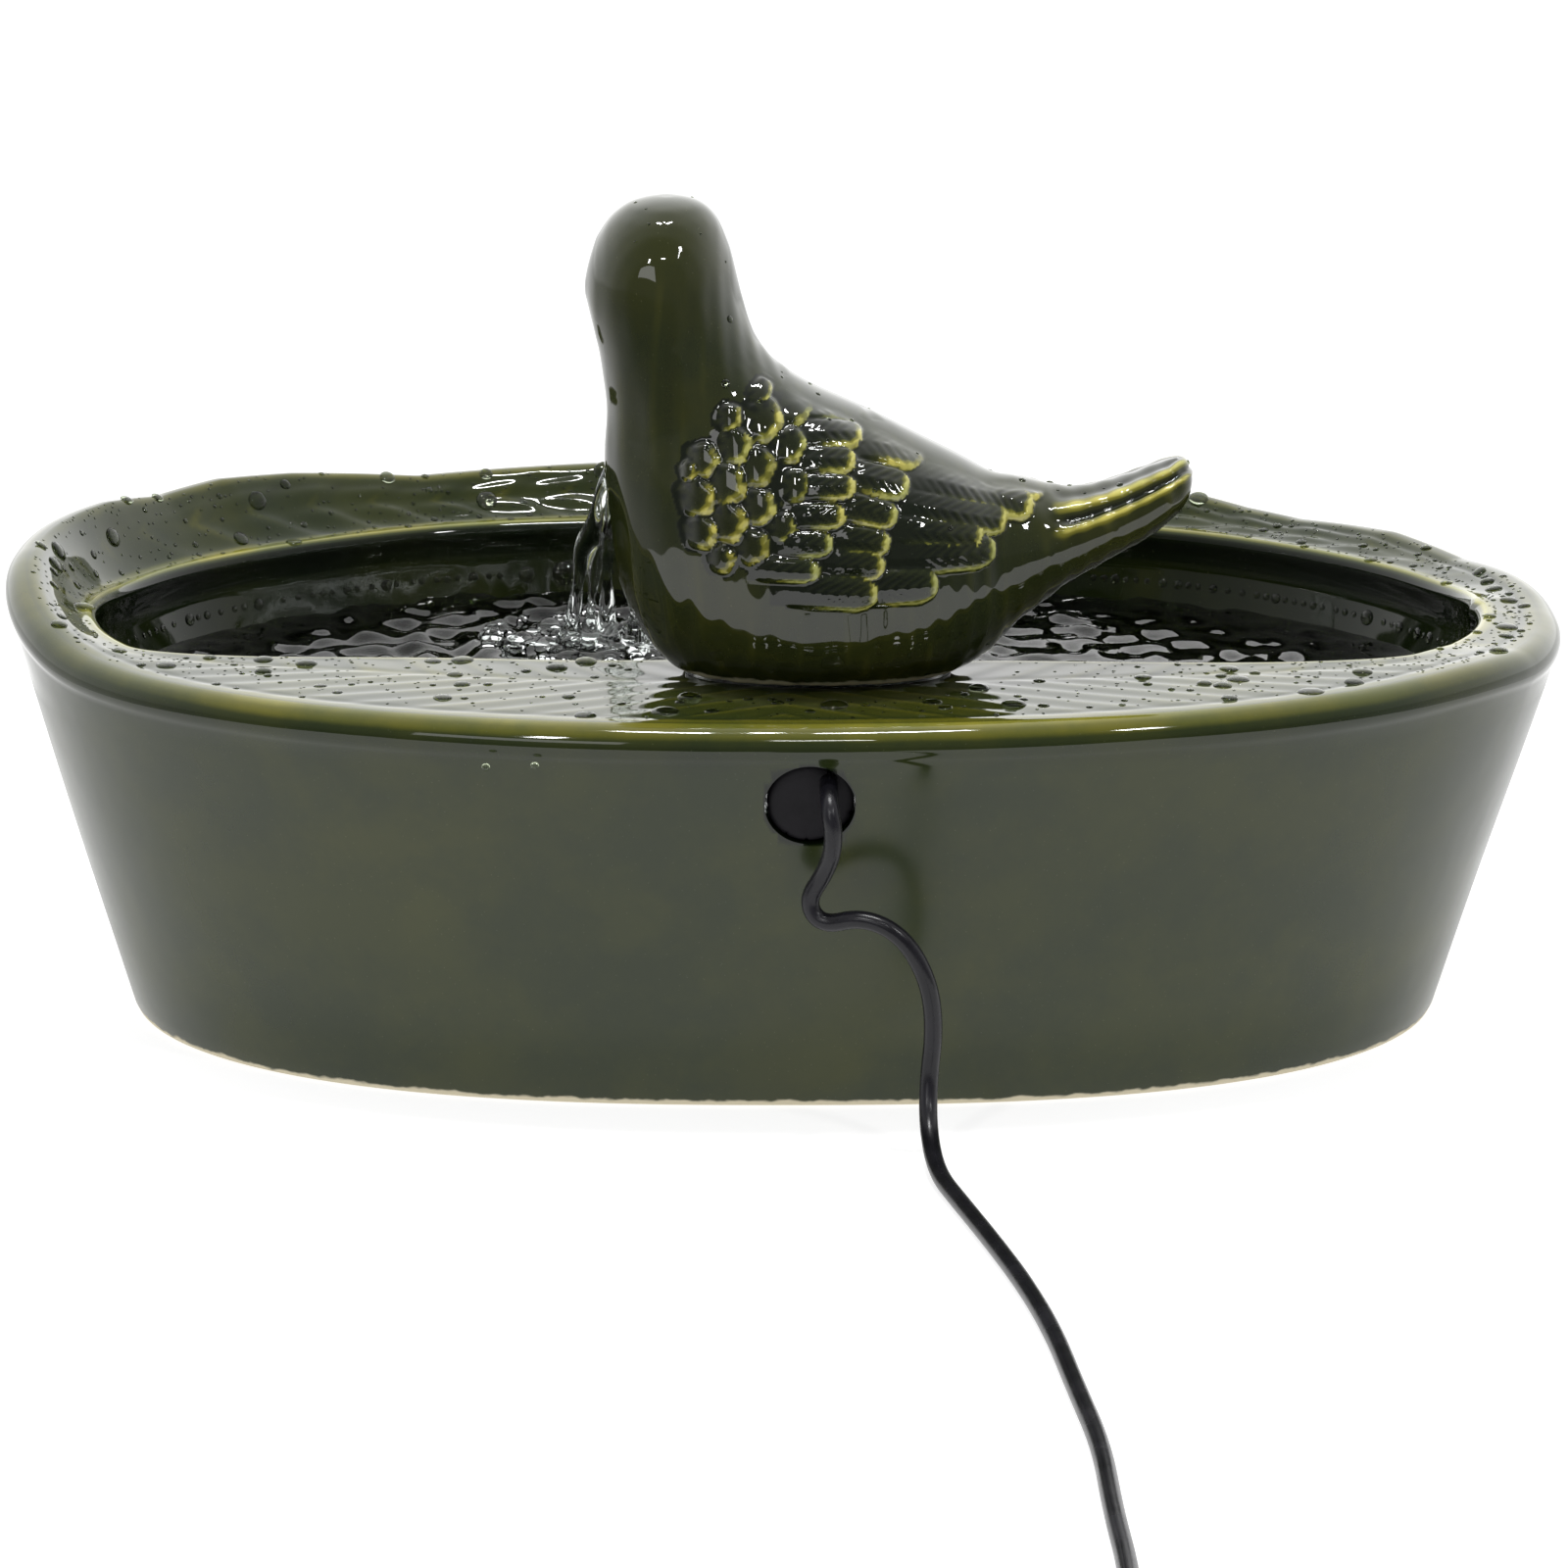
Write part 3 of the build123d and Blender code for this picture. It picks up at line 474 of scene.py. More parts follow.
cordLook = {
    "radius": 2.0 * mm,
    "exit": (9.6, -118.54, 81.72),
    "route": [
        (9.6, -127.9, 80.4), (10.9, -129.0, 71.2), (9.0, -124.5, 63.5), (4.7, -123.0, 56.4),
        (8.2, -124.4, 51.2), (17.0, -127.0, 54.2), (25.6, -129.2, 50.6), (31.2, -129.8, 40.6),
        (32.6, -128.0, 29.0), (31.4, -126.5, 17.0), (31.2, -132.5, 7.6), (32.8, -145.5, 2.3),
        (37.2, -162.0, 2.05), (43.2, -185.0, 2.05), (49.2, -210.5, 2.05), (53.6, -236.0, 2.05),
        (56.5, -264.0, 2.05), (59.8, -292.0, 2.05), (60.2, -321.0, 2.05), (61.6, -349.0, 2.05),
        (60.6, -376.0, 2.05), (60.6, -398.0, 2.05),
    ],
    "coilMiddle": (29.4, -418.0),
    "turnPoints": 14,
    # turn number, radius and height where the winding changes
    "coilTurns": [0, 4, 5, 8, 9, 13, 14, 17, 18.25],
    "coilRadius": [31.2, 14.8, 16.9, 29.1, 31.2, 14.8, 16.9, 29.1, 31.2],
    "coilHeight": [2.8, 2.8, 6.3, 6.3, 9.8, 9.8, 13.3, 13.3, 13.8],
    "tail": [(4.4, -449.2, 13.8), (-10.6, -449.2, 5.0), (-20.6, -449.2, 5.0)],
    "length": 3.0,
}


def makeCord(values):
    points = [Vector(values["exit"])] + [Vector(p) for p in values["route"]]
    midX, midY = values["coilMiddle"]
    steps = int(values["coilTurns"][-1] * values["turnPoints"])
    for i in range(1, steps + 1):
        turn = i / values["turnPoints"]
        radius = np.interp(turn, values["coilTurns"], values["coilRadius"])
        height = np.interp(turn, values["coilTurns"], values["coilHeight"])
        angle = -2 * pi * turn
        points.append(Vector((midX + radius * cos(angle), midY + radius * sin(angle), height)))
    points += [Vector(p) for p in values["tail"]]
    curve = bpy.data.curves.new("cord", "CURVE")
    curve.dimensions = "3D"
    curve.bevel_depth = values["radius"]
    curve.bevel_resolution = 5
    curve.resolution_u = 8
    curve.use_fill_caps = True
    spline = curve.splines.new("NURBS")
    spline.points.add(len(points) - 1)
    for knot, place in zip(spline.points, points):
        knot.co = (*(place * mm), 1.0)
    spline.order_u = 3
    spline.use_endpoint_u = True
    cord = bpy.data.objects.new("cord", curve)
    scene.collection.objects.link(cord)
    curve.materials.append(finishes["cordJacket"])
    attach(cord, "root")
    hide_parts("cord_run", "cord_coil", "cord_tail")


makeCord(cordLook)
print("cord laid")

basinLook = {
    "rimX": 182.5, "rimY": 124.0,          # outside of the rolled rim, half sizes
    "footX": 155.2, "footY": 96.7,
    "wallHeight": 87.0, "wallIn": 2.0,     # the wall's upper end stands a little inside the rim
    "square": 2.25, "footSquare": 2.50,    # how square the oval is at the rim and at the foot
    "rayY": 10.0,                          # columns of the mesh fan out from this point on Y
    "columns": 620, "wallRows": 27, "innerRows": 28, "panelRows": 54,
    "ledgeTop": 95.0,
    "wall": 6.0, "floor": 7.0, "footWidth": 9.0, "footRecess": 1.5,
    "openX": 162.0, "openY": 103.5,
    "chordLeft": -60.5, "chordRight": -67.0, "cornerSoft": 24.0,
    "rollOut": 5.2, "rollUp": 4.9, "underRoll": 8.8,
    "lip": 2.8, "underLip": 7.6, "thickDown": 64.0,
    "veinStep": 17.0, "veinSweep": 2.6, "puff": 0.13, "farPuff": 0.60,
    # of each step between two veins: its highest place, the fall after it, where the glaze pools
    "veinTop": 0.70, "veinFall": 0.30, "veinPool": 0.93, "veinWide": 0.09,
    "midrib": 0.33,                        # how far the midrib is from the opening, of the ledge's width
    # the far rim rises and dips along its length: where, and how high it is there
    "crestX": [-182, -171, -160, -146, -129, -97, -51, 0, 60, 93, 109, 121, 134, 156, 171, 182],
    "crestZ": [105.0, 104.5, 102.2, 103.4, 102.2, 98.2, 99.2, 96.5,
               93.5, 93.2, 94.3, 92.2, 91.0, 92.0, 90.0, 92.0],
    "farLip": 88.0,
    "seed": 5,
}


def ovalOutline(halfX, halfY, square, count=3600):
    t = np.linspace(0, 2 * pi, count, endpoint=False)
    x = halfX * np.sign(np.cos(t)) * np.abs(np.cos(t)) ** (2 / square)
    y = halfY * np.sign(np.sin(t)) * np.abs(np.sin(t)) ** (2 / square)
    return x, y


def ovalReach(halfX, halfY, angles, values, square=None):
    x, y = ovalOutline(halfX, halfY, square or values["square"])
    around = np.arctan2(y - values["rayY"], x)
    reach = np.hypot(x, y - values["rayY"])
    order = np.argsort(around)
    return np.interp(angles, around[order], reach[order], period=2 * pi)


def wallSlope(values):
    return (values["rimX"] - values["wallIn"] - values["footX"]) / values["wallHeight"]


def openingReach(angles, values):
    oval = ovalReach(values["openX"], values["openY"], angles, values)
    slope = (values["chordRight"] - values["chordLeft"]) / (2 * values["openX"])
    middle = (values["chordRight"] + values["chordLeft"]) / 2
    # distance along each ray to the straight edge of the ledge
    down = np.sin(angles) - slope * np.cos(angles)
    chord = np.where(down < -1e-3, (middle - values["rayY"]) / np.minimum(down, -1e-3), 1e4)
    soft = values["cornerSoft"]
    share = np.clip(0.5 + 0.5 * (chord - oval) / soft, 0, 1)
    return chord * (1 - share) + oval * share - soft * share * (1 - share)


def leafRelief(along, across, values):
    lane = np.abs(across)
    phase = (along - values["veinSweep"] * lane ** 0.92) / values["veinStep"]
    place = phase - np.floor(phase)
    # each panel swells slowly and drops quickly at the next vein
    top = values["veinTop"]
    swell = np.where(place < top, place / top, (1 - place) / values["veinFall"])
    swell = swell * swell * (3 - 2 * swell)
    rib = bell(across, 0, 1.3)
    return swell * (1 - 0.6 * rib), rib, place


def makeBasin(values):
    v = values
    outX, outY = ovalOutline(v["rimX"], v["rimY"], v["square"])
    step = np.hypot(np.diff(outX, append=outX[0]), np.diff(outY, append=outY[0]))
    walked = np.concatenate([[0], np.cumsum(step)[:-1]])
    total = step.sum()
    spots = np.linspace(0, total, v["columns"], endpoint=False)
    pointX = np.interp(spots, walked, outX, period=total)
    pointY = np.interp(spots, walked, outY, period=total)
    angles = np.arctan2(pointY - v["rayY"], pointX)
    front = walked[np.argmin(outY + 0.001 * np.abs(outX))]
    along = np.abs((spots - front + total / 2) % total - total / 2) * 0.93
    rng = np.random.RandomState(v["seed"])
    wobble = np.zeros(v["columns"])
    for k in (3, 5, 8, 13, 21):
        wobble += 0.28 / sqrt(k) * np.sin(2 * pi * k * spots / total + rng.uniform(0, 6.28))
    full = ovalReach(v["rimX"], v["rimY"], angles, v)
    outer = np.minimum(full, full - 0.2 + 0.7 * wobble)
    inner = openingReach(angles, v) + 0.8 * np.sin(spots / 17.0)
    far = ease(-35, 45, pointY)
    wave = np.interp(pointX, v["crestX"], v["crestZ"]) - v["ledgeTop"]
    crest = v["ledgeTop"] + ease(-85, 0, pointY) * wave
    lipTop = np.minimum(crest - 0.8 * far, v["ledgeTop"] * (1 - far) + v["farLip"] * far)
    width = outer - inner
    slope = wallSlope(v)

    # from the middle of the foot out, up the wall, over the rim and down to the middle of the floor
    rows = []      # radius, height, glaze level

    def addRow(radius, height, level):
        one = np.ones(v["columns"])
        rows.append((radius * one, height * one, level * one))

    def wallReach(z, inset=0.0):
        square = v["footSquare"] + (v["square"] - v["footSquare"]) * z / v["wallHeight"]
        return ovalReach(v["footX"] + slope * z - inset, v["footY"] + slope * z - inset, angles, v, square)

    footIn = wallReach(0, v["footWidth"])
    for share in (0.06, 0.35, 0.7, 0.97):
        addRow(footIn * share, v["footRecess"], 0.3)
    addRow(footIn, v["footRecess"] * 0.6, 0.3)
    addRow(footIn + 0.5, 0.0, 0.3)
    addRow(wallReach(0, 0.9), 0.0, 0.4)
    addRow(wallReach(0, 0.1), 0.45, 0.4)
    addRow(wallReach(1.6), 1.6, 0.45)
    base = wallReach(1.6)
    upper = ovalReach(v["rimX"] - 1.6, v["rimY"] - 1.6, angles, v)
    for share in np.linspace(0, 1, v["wallRows"])[1:]:
        top = crest - v["underRoll"]
        height = 1.6 + share * (top - 1.6)
        reach = base + (upper - base) * share
        # slight hand-made unevenness of the cast wall
        reach = reach + 0.35 * np.sin(spots / 41.0 + 2.2 * share) * np.sin(pi * share)
        addRow(reach, height, 0.46 - 0.10 * ease(0.975, 1.0, share))
    # less of the glaze breaks at the two ends of the rim
    frontRoll = 1 - 0.45 * ease(115, 172, np.abs(pointX))
    for a in np.radians(np.linspace(-36, 82, 17)):
        reach = outer - v["rollOut"] + v["rollOut"] * cos(a)
        height = crest - v["rollUp"] + v["rollUp"] * sin(a)
        level = 0.33 + (0.33 * ease(0.10, 0.72, a) + 0.12 * ease(0.7, 1.2, a)) * frontRoll
        addRow(reach, height, level)
    rimStart = len(rows)
    # panel of leaves, from the roll to the lip, flatter at the two ends
    panelWidth = width - v["rollOut"] - v["lip"]
    onLedge = 1 - ease(-60, -20, pointY)
    ribShare = 0.5 + (v["midrib"] - 0.5) * onLedge
    # veins are measured square to the midrib, although the rays may cross it aslant
    squareness = np.clip(np.abs(np.sin(angles)) + 0.35 * (1 - onLedge), 0.35, 1.0)
    puff = v["puff"] * (1 - far) + v["farPuff"] * far
    puff = puff * (1 - 0.75 * ease(150, 176, np.abs(pointX)))
    strong = 0.35 - 0.10 * far
    for share in np.arange(v["panelRows"]) / (v["panelRows"] - 1):
        depth = v["rollOut"] + panelWidth * share
        across = ((1 - share) - ribShare) * panelWidth * squareness
        swell, rib, place = leafRelief(along, across, v)
        nearRoll = bell(depth, 9.5, 1.2)
        toLip = (1 - share) * panelWidth
        fade = ease(5.5, 12.0, depth) * ease(0.0, 5.0, toLip)
        fall = (crest - lipTop) * ease(0.05, 1.0, share)
        height = crest - fall - puff * ((1 - swell) + 0.7 * rib) * fade - (0.15 + 0.25 * far) * nearRoll
        level = 0.50 - 0.07 * far + 0.30 * strong * bell(place, v["veinTop"], v["veinWide"]) * fade
        level = level + 0.18 * strong * rib * fade
        level = level - 0.20 * strong * bell(place, v["veinPool"], v["veinWide"]) * fade
        level = level + 0.20 * frontRoll * bell(depth, 7.0, 1.8) - 0.10 * nearRoll
        level = level + (0.30 + 0.05 * far) * ease(2.6, 0.4, toLip)
        addRow(outer - depth, height, level)
    rimEnd = len(rows)
    for b in np.radians(np.linspace(14, 128, 9)):
        reach = inner + v["lip"] - v["lip"] * sin(b)
        addRow(reach, lipTop - v["lip"] + v["lip"] * cos(b), 0.86 - 0.72 * ease(0.35, 1.1, b))
    under = lipTop - v["underLip"]
    innerX, innerY = v["rimX"] - v["wallIn"] - v["wall"], v["rimY"] - v["wallIn"] - v["wall"]
    innerTop = ovalReach(innerX, innerY, angles, v)
    farSide = ease(-62, -40, pointY)
    addRow(inner + 0.6, under, 0.12)
    for share in (0.25, 0.6, 0.93):
        addRow(inner + 0.6 + (innerTop - inner - 0.6) * share * (1 - farSide), under - 0.1 * share, 0.12)
    wallStart = len(rows)
    innerFoot = wallReach(v["floor"] + 2.5, v["wall"])
    for share in np.linspace(0, 1, v["innerRows"]):
        height = (under - 0.8) * (1 - share) + (v["floor"] + 2.5) * share
        plain = innerTop + (innerFoot - innerTop) * share
        # away from the ledge the rim is thick, and thins to the wall below the water
        thick = inner + 1.0 - slope * (under - height)
        keep = farSide * ease(v["thickDown"] - 14, v["thickDown"], height)
        addRow(plain * (1 - keep) + np.minimum(plain, thick) * keep, height, 0.20)
    wallEnd = len(rows)
    floorIn = wallReach(v["floor"], v["wall"])
    addRow(floorIn - 1.2, v["floor"] + 0.7, 0.14)
    for share in (0.96, 0.8, 0.6, 0.4, 0.2, 0.05):
        addRow(floorIn * share, v["floor"], 0.14)

    count = v["columns"]
    radius = np.array([r[0] for r in rows])
    height = np.array([r[1] for r in rows])
    grid = np.zeros((len(rows), count, 3))
    grid[:, :, 0] = radius * np.cos(angles)
    grid[:, :, 1] = radius * np.sin(angles) + v["rayY"]
    grid[:, :, 2] = height
    level = np.array([r[2] for r in rows])
    points = (grid.reshape(-1, 3) * mm).tolist()
    faces = ringFaces(len(rows), count)
    points.append([0, v["rayY"] * mm, v["footRecess"] * mm])
    points.append([0, v["rayY"] * mm, v["floor"] * mm])
    last = (len(rows) - 1) * count
    for j in range(count):
        k = (j + 1) % count
        faces.append((len(points) - 2, k, j))
        faces.append((len(points) - 1, last + j, last + k))
    basin = addObject("basinShell", points, faces, glaze)
    storeMap(basin, "glazeHeight", np.clip(np.concatenate([level.ravel(), [0.3, 0.14]]), 0, 1))
    return basin, grid, (rimStart, rimEnd), (wallStart, wallEnd)


plugPlace = {
    "middle": (5.6, -119.09, 77.0),
    "tilt": 8.0,
    "hole": 9.8, "radius": 9.6, "length": 9.5, "recess": 1.2,
    "slitX": 4.0, "cordX": 4.0, "cordUp": 4.6, "cordRadius": 2.05,
    "bossRadius": 8.9, "bossX": -0.35, "bossUp": -0.45,
    "nicks": (4.12, 4.63, 5.95),
    "sides": 180, "dents": 14, "seed": 3,
}
tubePlace = {"foot": (6, -75, 80), "top": (6, -75, 110), "hole": 8.0}


def plugFrame(values):
    tilt = radians(values["tilt"])
    out = Vector((0, -cos(tilt), -sin(tilt)))
    side = Vector((1, 0, 0))
    up = side.cross(out) * -1
    if up.z < 0:
        up = -up
    return Vector(values["middle"]), side, up, out


basin, rimGrid, rimRows, wallRows = makeBasin(basinLook)
middle, side, up, out = plugFrame(plugPlace)
holeStart, holeEnd = (middle - out * 18) * mm, (middle + out * 12) * mm
plugCutter = roundBar("plugCutter", holeStart, holeEnd, plugPlace["hole"] * mm, 96)
tubeStart, tubeEnd = Vector(tubePlace["foot"]) * mm, Vector(tubePlace["top"]) * mm
tubeCutter = roundBar("tubeCutter", tubeStart, tubeEnd, tubePlace["hole"] * mm, 64)
storeMap(plugCutter, "glazeHeight", [0.52] * len(plugCutter.data.vertices))
cutWith(basin, [plugCutter, tubeCutter])
smoothAll(basin, 52)
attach(basin, "root")
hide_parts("basin")
print("basin made, faces:", len(basin.data.polygons))


def makePlug(values):
    v = values
    middle, side, up, out = plugFrame(v)
    turns = np.linspace(0, 2 * pi, v["sides"], endpoint=False)
    # the big part of the plug has sunk to one side, and the flap past the slit fills the rest of the hole
    offX, offY = v["bossX"], v["bossUp"]
    along = offX * np.cos(turns) + offY * np.sin(turns)
    disc = along + np.sqrt(along**2 + v["bossRadius"] ** 2 - offX**2 - offY**2)
    flap = ease(1.02, 0.90, turns) + ease(5.20, 5.36, turns)
    reach = disc * (1 - flap) + v["radius"] * flap
    for spot in v["nicks"]:
        reach = reach - 0.45 * bell(turns, spot, 0.035)
    rings = [(0.02, -v["length"]), (0.94, -v["length"]), (1.0, -v["length"] + 0.7)]
    rings += [(1.0, h) for h in np.linspace(-v["length"] + 1.5, -0.9, 6)]
    rings += [(1 - 0.012 * k * k, -0.9 + 0.9 * sin(pi / 2 * k / 4)) for k in range(1, 5)]
    rings += [(share, 0.02) for share in (0.74, 0.66, 0.56, 0.45, 0.33, 0.2, 0.08)]
    rng = np.random.RandomState(v["seed"])
    dents = [(rng.uniform(-7, 7), rng.uniform(-7, 7), rng.uniform(1.5, 3.5), rng.uniform(-0.16, 0.12))
             for i in range(v["dents"])]
    points = []
    for share, height in rings:
        for a, full in zip(turns, reach):
            x, y = full * share * cos(a), full * share * sin(a)
            rise = height
            if height > -0.95:
                rise += sum(deep * np.exp(-((x - px) ** 2 + (y - py) ** 2) / wide**2)
                            for px, py, wide, deep in dents)
                rise -= 0.9 * ease(v["slitX"] + 0.1, v["slitX"] + 0.7, x - 0.06 * y)
                rise = min(rise, 0.5)
            points.append((middle + side * x + up * y + out * (rise - v["recess"])) * mm)
    faces = closedFaces(len(rings), v["sides"])
    plug = addObject("cordPlug", points, faces, finishes["blackRubber"])
    mouth = middle + side * v["cordX"] + up * v["cordUp"]
    bore = roundBar("bore", (mouth - out * 20) * mm, (mouth + out * 6) * mm, v["cordRadius"] * mm, 40)
    # the slit lets the rubber open round the cord
    slitPoints = []
    for depth in (-20, 6):
        for across, tall in ((-0.35, -11), (0.15, -11), (0.55, 11), (-0.45, 11)):
            slitPoints.append((middle + side * (v["slitX"] + 0.1 + across) + up * tall + out * depth) * mm)
    slitFaces = [(0, 3, 2, 1), (4, 5, 6, 7), (0, 1, 5, 4), (1, 2, 6, 5), (2, 3, 7, 6), (3, 0, 4, 7)]
    slit = addObject("slit", slitPoints, slitFaces, None, smooth=False)
    cutWith(plug, [bore, slit])
    smoothAll(plug, 38)
    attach(plug, "root")
    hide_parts("cord_plug")


makePlug(plugPlace)
print("plug made")

birdLook = {
    "middleY": -75.0,
    "bottom": 96.0, "top": 201.15,
    "tailStart": 24.0, "tailEnd": 90.0,
    # height, centre along x, shift along y, half length, half depth
    "sections": [
        (96, 7.5, 0, 31.5, 18.5), (99.5, 8.3, 0, 36.0, 22.6), (104, 9, 0, 39.8, 25.2),
        (114, 9.5, 0, 45.2, 27.2), (123, 9.3, 0, 46.7, 27.3), (133, 6.7, 0, 45.3, 26.6),
        (141, 2, 0, 41.5, 24.4), (148, -4.5, 0, 34.8, 21.4), (154, -10, 0, 28.6, 19.2),
        (160, -17, 0, 22.3, 17.6), (167, -22.2, 0.5, 18.1, 17), (174, -24.8, 1.5, 17.2, 17.6),
        (180, -26.5, 2.5, 16.9, 18.4), (187, -26.8, 3, 15.8, 18), (193.5, -26.6, 3, 13.4, 15.2),
        (197.0, -26.2, 3, 11.4, 12.6), (199.3, -25.8, 3, 8.6, 9.6), (200.7, -25.5, 3, 5.4, 6.0),
        (201.15, -25.4, 3, 2.2, 2.5),
    ],
    # along x: centre height, half depth, half height
    "tail": [
        (24, 121.0, 18, 17), (38, 121.6, 17.2, 17.2), (50, 122.9, 15.5, 16.6), (62, 126.2, 13, 10.8),
        (73, 130.5, 11.5, 8.6), (84, 136, 9.5, 7.2), (88.2, 138.6, 7.4, 5.6), (90.0, 139.6, 4.0, 3.0),
    ],
    "head": (-26.6, -72.4, 180.0),
    "beakWay": (-0.371, 0.923, -0.100),
    # along the beak: how far out, half width, half height
    "beak": [
        (6.0, 8.6, 8.6), (10.0, 7.4, 7.2), (16.0, 6.0, 5.7), (23.0, 5.0, 4.6), (29.0, 4.3, 3.9),
        (32.0, 3.9, 3.5),
    ],
    "beakBore": 2.3, "footBore": 5.5,
    "eyeOut": 13.0, "eyeAside": 14.6, "eyeUp": 4.5,
    "coarse": 2.4, "smoothing": 5, "seed": 4,
    # small round scales of the shoulder: middle x, middle z, width
    "scales": [
        (2.8, 158.0, 7.6), (1.2, 150.5, 7.4), (2.4, 142.5, 7.0), (-5.3, 161.0, 5.2), (-4.7, 155.6, 8.8),
        (-6.2, 146.4, 8.8), (-5.6, 138.2, 8.0), (-0.4, 134.0, 6.8), (-7.0, 129.6, 8.2), (-12.0, 156.4, 6.0),
        (-10.8, 150.6, 8.2), (-12.6, 142.6, 9.4), (-12.2, 134.6, 9.2), (-13.6, 126.6, 6.6),
        (-17.6, 147.4, 7.6), (-18.6, 139.6, 8.8), (-17.8, 132.2, 8.0), (-20.6, 145.0, 4.6),
    ],
    "feathers": [
        # root x, root z, tip x, tip z, half width
        (28.0, 149.5, 57.3, 137.2, 3.4), (24.0, 144.5, 54.5, 133.9, 3.3), (22.0, 139.5, 48.5, 131.6, 3.2),
        (20.0, 134.0, 43.0, 129.6, 3.2), (20.0, 127.0, 46.0, 126.8, 4.0), (12.0, 120.6, 33.5, 120.8, 4.3),
        (14.5, 151.0, 30.6, 146.0, 3.3), (11.0, 145.5, 27.0, 140.6, 3.3), (9.0, 139.5, 24.5, 135.2, 3.3),
        (8.0, 132.5, 23.0, 130.0, 3.3), (6.0, 126.5, 22.0, 125.4, 3.6), (-3.0, 120.8, 20.5, 119.4, 4.2),
        (2.5, 158.5, 17.5, 155.3, 2.9), (2.5, 153.0, 17.0, 151.0, 2.9), (2.0, 148.0, 15.5, 146.4, 2.9),
        (2.0, 142.5, 15.5, 141.6, 2.9), (0.0, 136.5, 13.5, 136.2, 3.0), (-3.0, 130.5, 11.0, 130.6, 3.1),
        (-8.0, 125.0, 8.0, 124.8, 3.1),
    ],
}


def smoothTrack(keys, values, samples):
    keys, values = np.asarray(keys, float), np.asarray(values, float)
    slope = np.gradient(values, keys)
    spot = np.clip(np.searchsorted(keys, samples) - 1, 0, len(keys) - 2)
    span = keys[spot + 1] - keys[spot]
    t = (samples - keys[spot]) / span
    return ((2 * t**3 - 3 * t**2 + 1) * values[spot] + (t**3 - 2 * t**2 + t) * span * slope[spot]
            + (-2 * t**3 + 3 * t**2) * values[spot + 1] + (t**3 - t**2) * span * slope[spot + 1])


def ringedForm(name, rings):
    points = [p for ring in rings for p in ring]
    return addObject(name, points, closedFaces(len(rings), len(rings[0])), None)


def featherField(x, z, values):
    height = np.zeros_like(x)
    level = np.full_like(x, -1.0)
    count = len(values["feathers"])
    for k, (rootX, rootZ, tipX, tipZ, half) in enumerate(values["feathers"]):
        base = 0.4 + 0.75 * k / count
        wayX, wayZ = tipX - rootX, tipZ - rootZ
        length = sqrt(wayX**2 + wayZ**2)
        wayX, wayZ = wayX / length, wayZ / length
        a = (x - rootX) * wayX + (z - rootZ) * wayZ
        b = -(x - rootX) * wayZ + (z - rootZ) * wayX
        roundOff = length - half * 1.25
        tip = np.clip((a - roundOff) / (length - roundOff), 0, 1)
        wide = half * np.sqrt(np.clip(1 - tip**2, 0, 1))
        edge = np.minimum(wide - np.abs(b), (length - a) * 0.9)
        inside = (edge > 0) & (a > 0)
        barb = np.sin((a * 0.95 - np.abs(b) * 1.5) * 2 * pi / 2.3)
        shape = base + 0.55 * np.clip(a / length, 0, 1) + 0.42 * (1 - (b / half) ** 2)
        shape = shape + 0.08 * barb * ease(0.3, 1.2, edge) + 0.14 * bell(b, 0, 0.45)
        # the root sinks into the body and the free edge drops quickly
        shape = shape * ease(-0.05, 0.85, edge) * ease(-0.5, 0.45 * length, a)
        low = ease(0.4 * half, -0.6 * half, b)
        rim = np.maximum(ease(2.2, 0.5, edge) * (0.20 + 0.80 * low), ease(3.2, 0.8, length - a))
        rim = rim * ease(0.20, 0.60, a / length)
        tone = 0.12 + 0.80 * rim + 0.10 * barb * ease(0.2, 0.5, a / length)
        tone = tone + 0.14 * ease(0.4, 1.0, a / length)
        tone = tone * ease(-0.1, 0.35, edge) + 0.03
        over = inside & (shape > height)
        height = np.where(over, shape, height)
        level = np.where(over, tone, level)
    rng = np.random.RandomState(values["seed"])
    for middleX, middleZ, width in values["scales"]:
        half = width / 2 * 1.06
        a, b = (x - middleX) / half, (z - middleZ) / half
        around = np.arctan2(b, a)
        gap = np.hypot(a, b) * (1 + 0.05 * np.sin(5 * around + rng.uniform(0, 6.28)))
        inside = gap < 1
        # scales nearer the neck lie over those behind them
        base = 1.15 - 0.020 * (middleX + 20)
        shape = (base + 0.42 * np.sqrt(np.clip(1 - gap**2, 0, 1))) * ease(1.0, 0.74, gap) * ease(-1.0, 0.2, a)
        facing = ease(-0.25, 0.55, 0.85 * a - 0.50 * b)
        rim = ease(0.28, 0.70, gap) * facing * rng.uniform(0.80, 1.0)
        groove = np.sin(around * 7.0 + rng.uniform(0, 6.28))
        tone = 0.24 + 0.74 * rim - 0.16 * (groove < -0.2) * ease(0.3, 0.6, gap)
        tone = np.clip(tone, 0.05, 1.0) * ease(1.0, 0.93, gap) + 0.02
        over = inside & (shape > height)
        height = np.where(over, shape, height)
        level = np.where(over, tone, level)
        # painted shade: the gap round each scale is darkened, where the dark glaze also pools
        beside = (gap >= 1) & (gap < 1.22) & (level < 0)
        level = np.where(beside, 0.10, level)
    return height, level


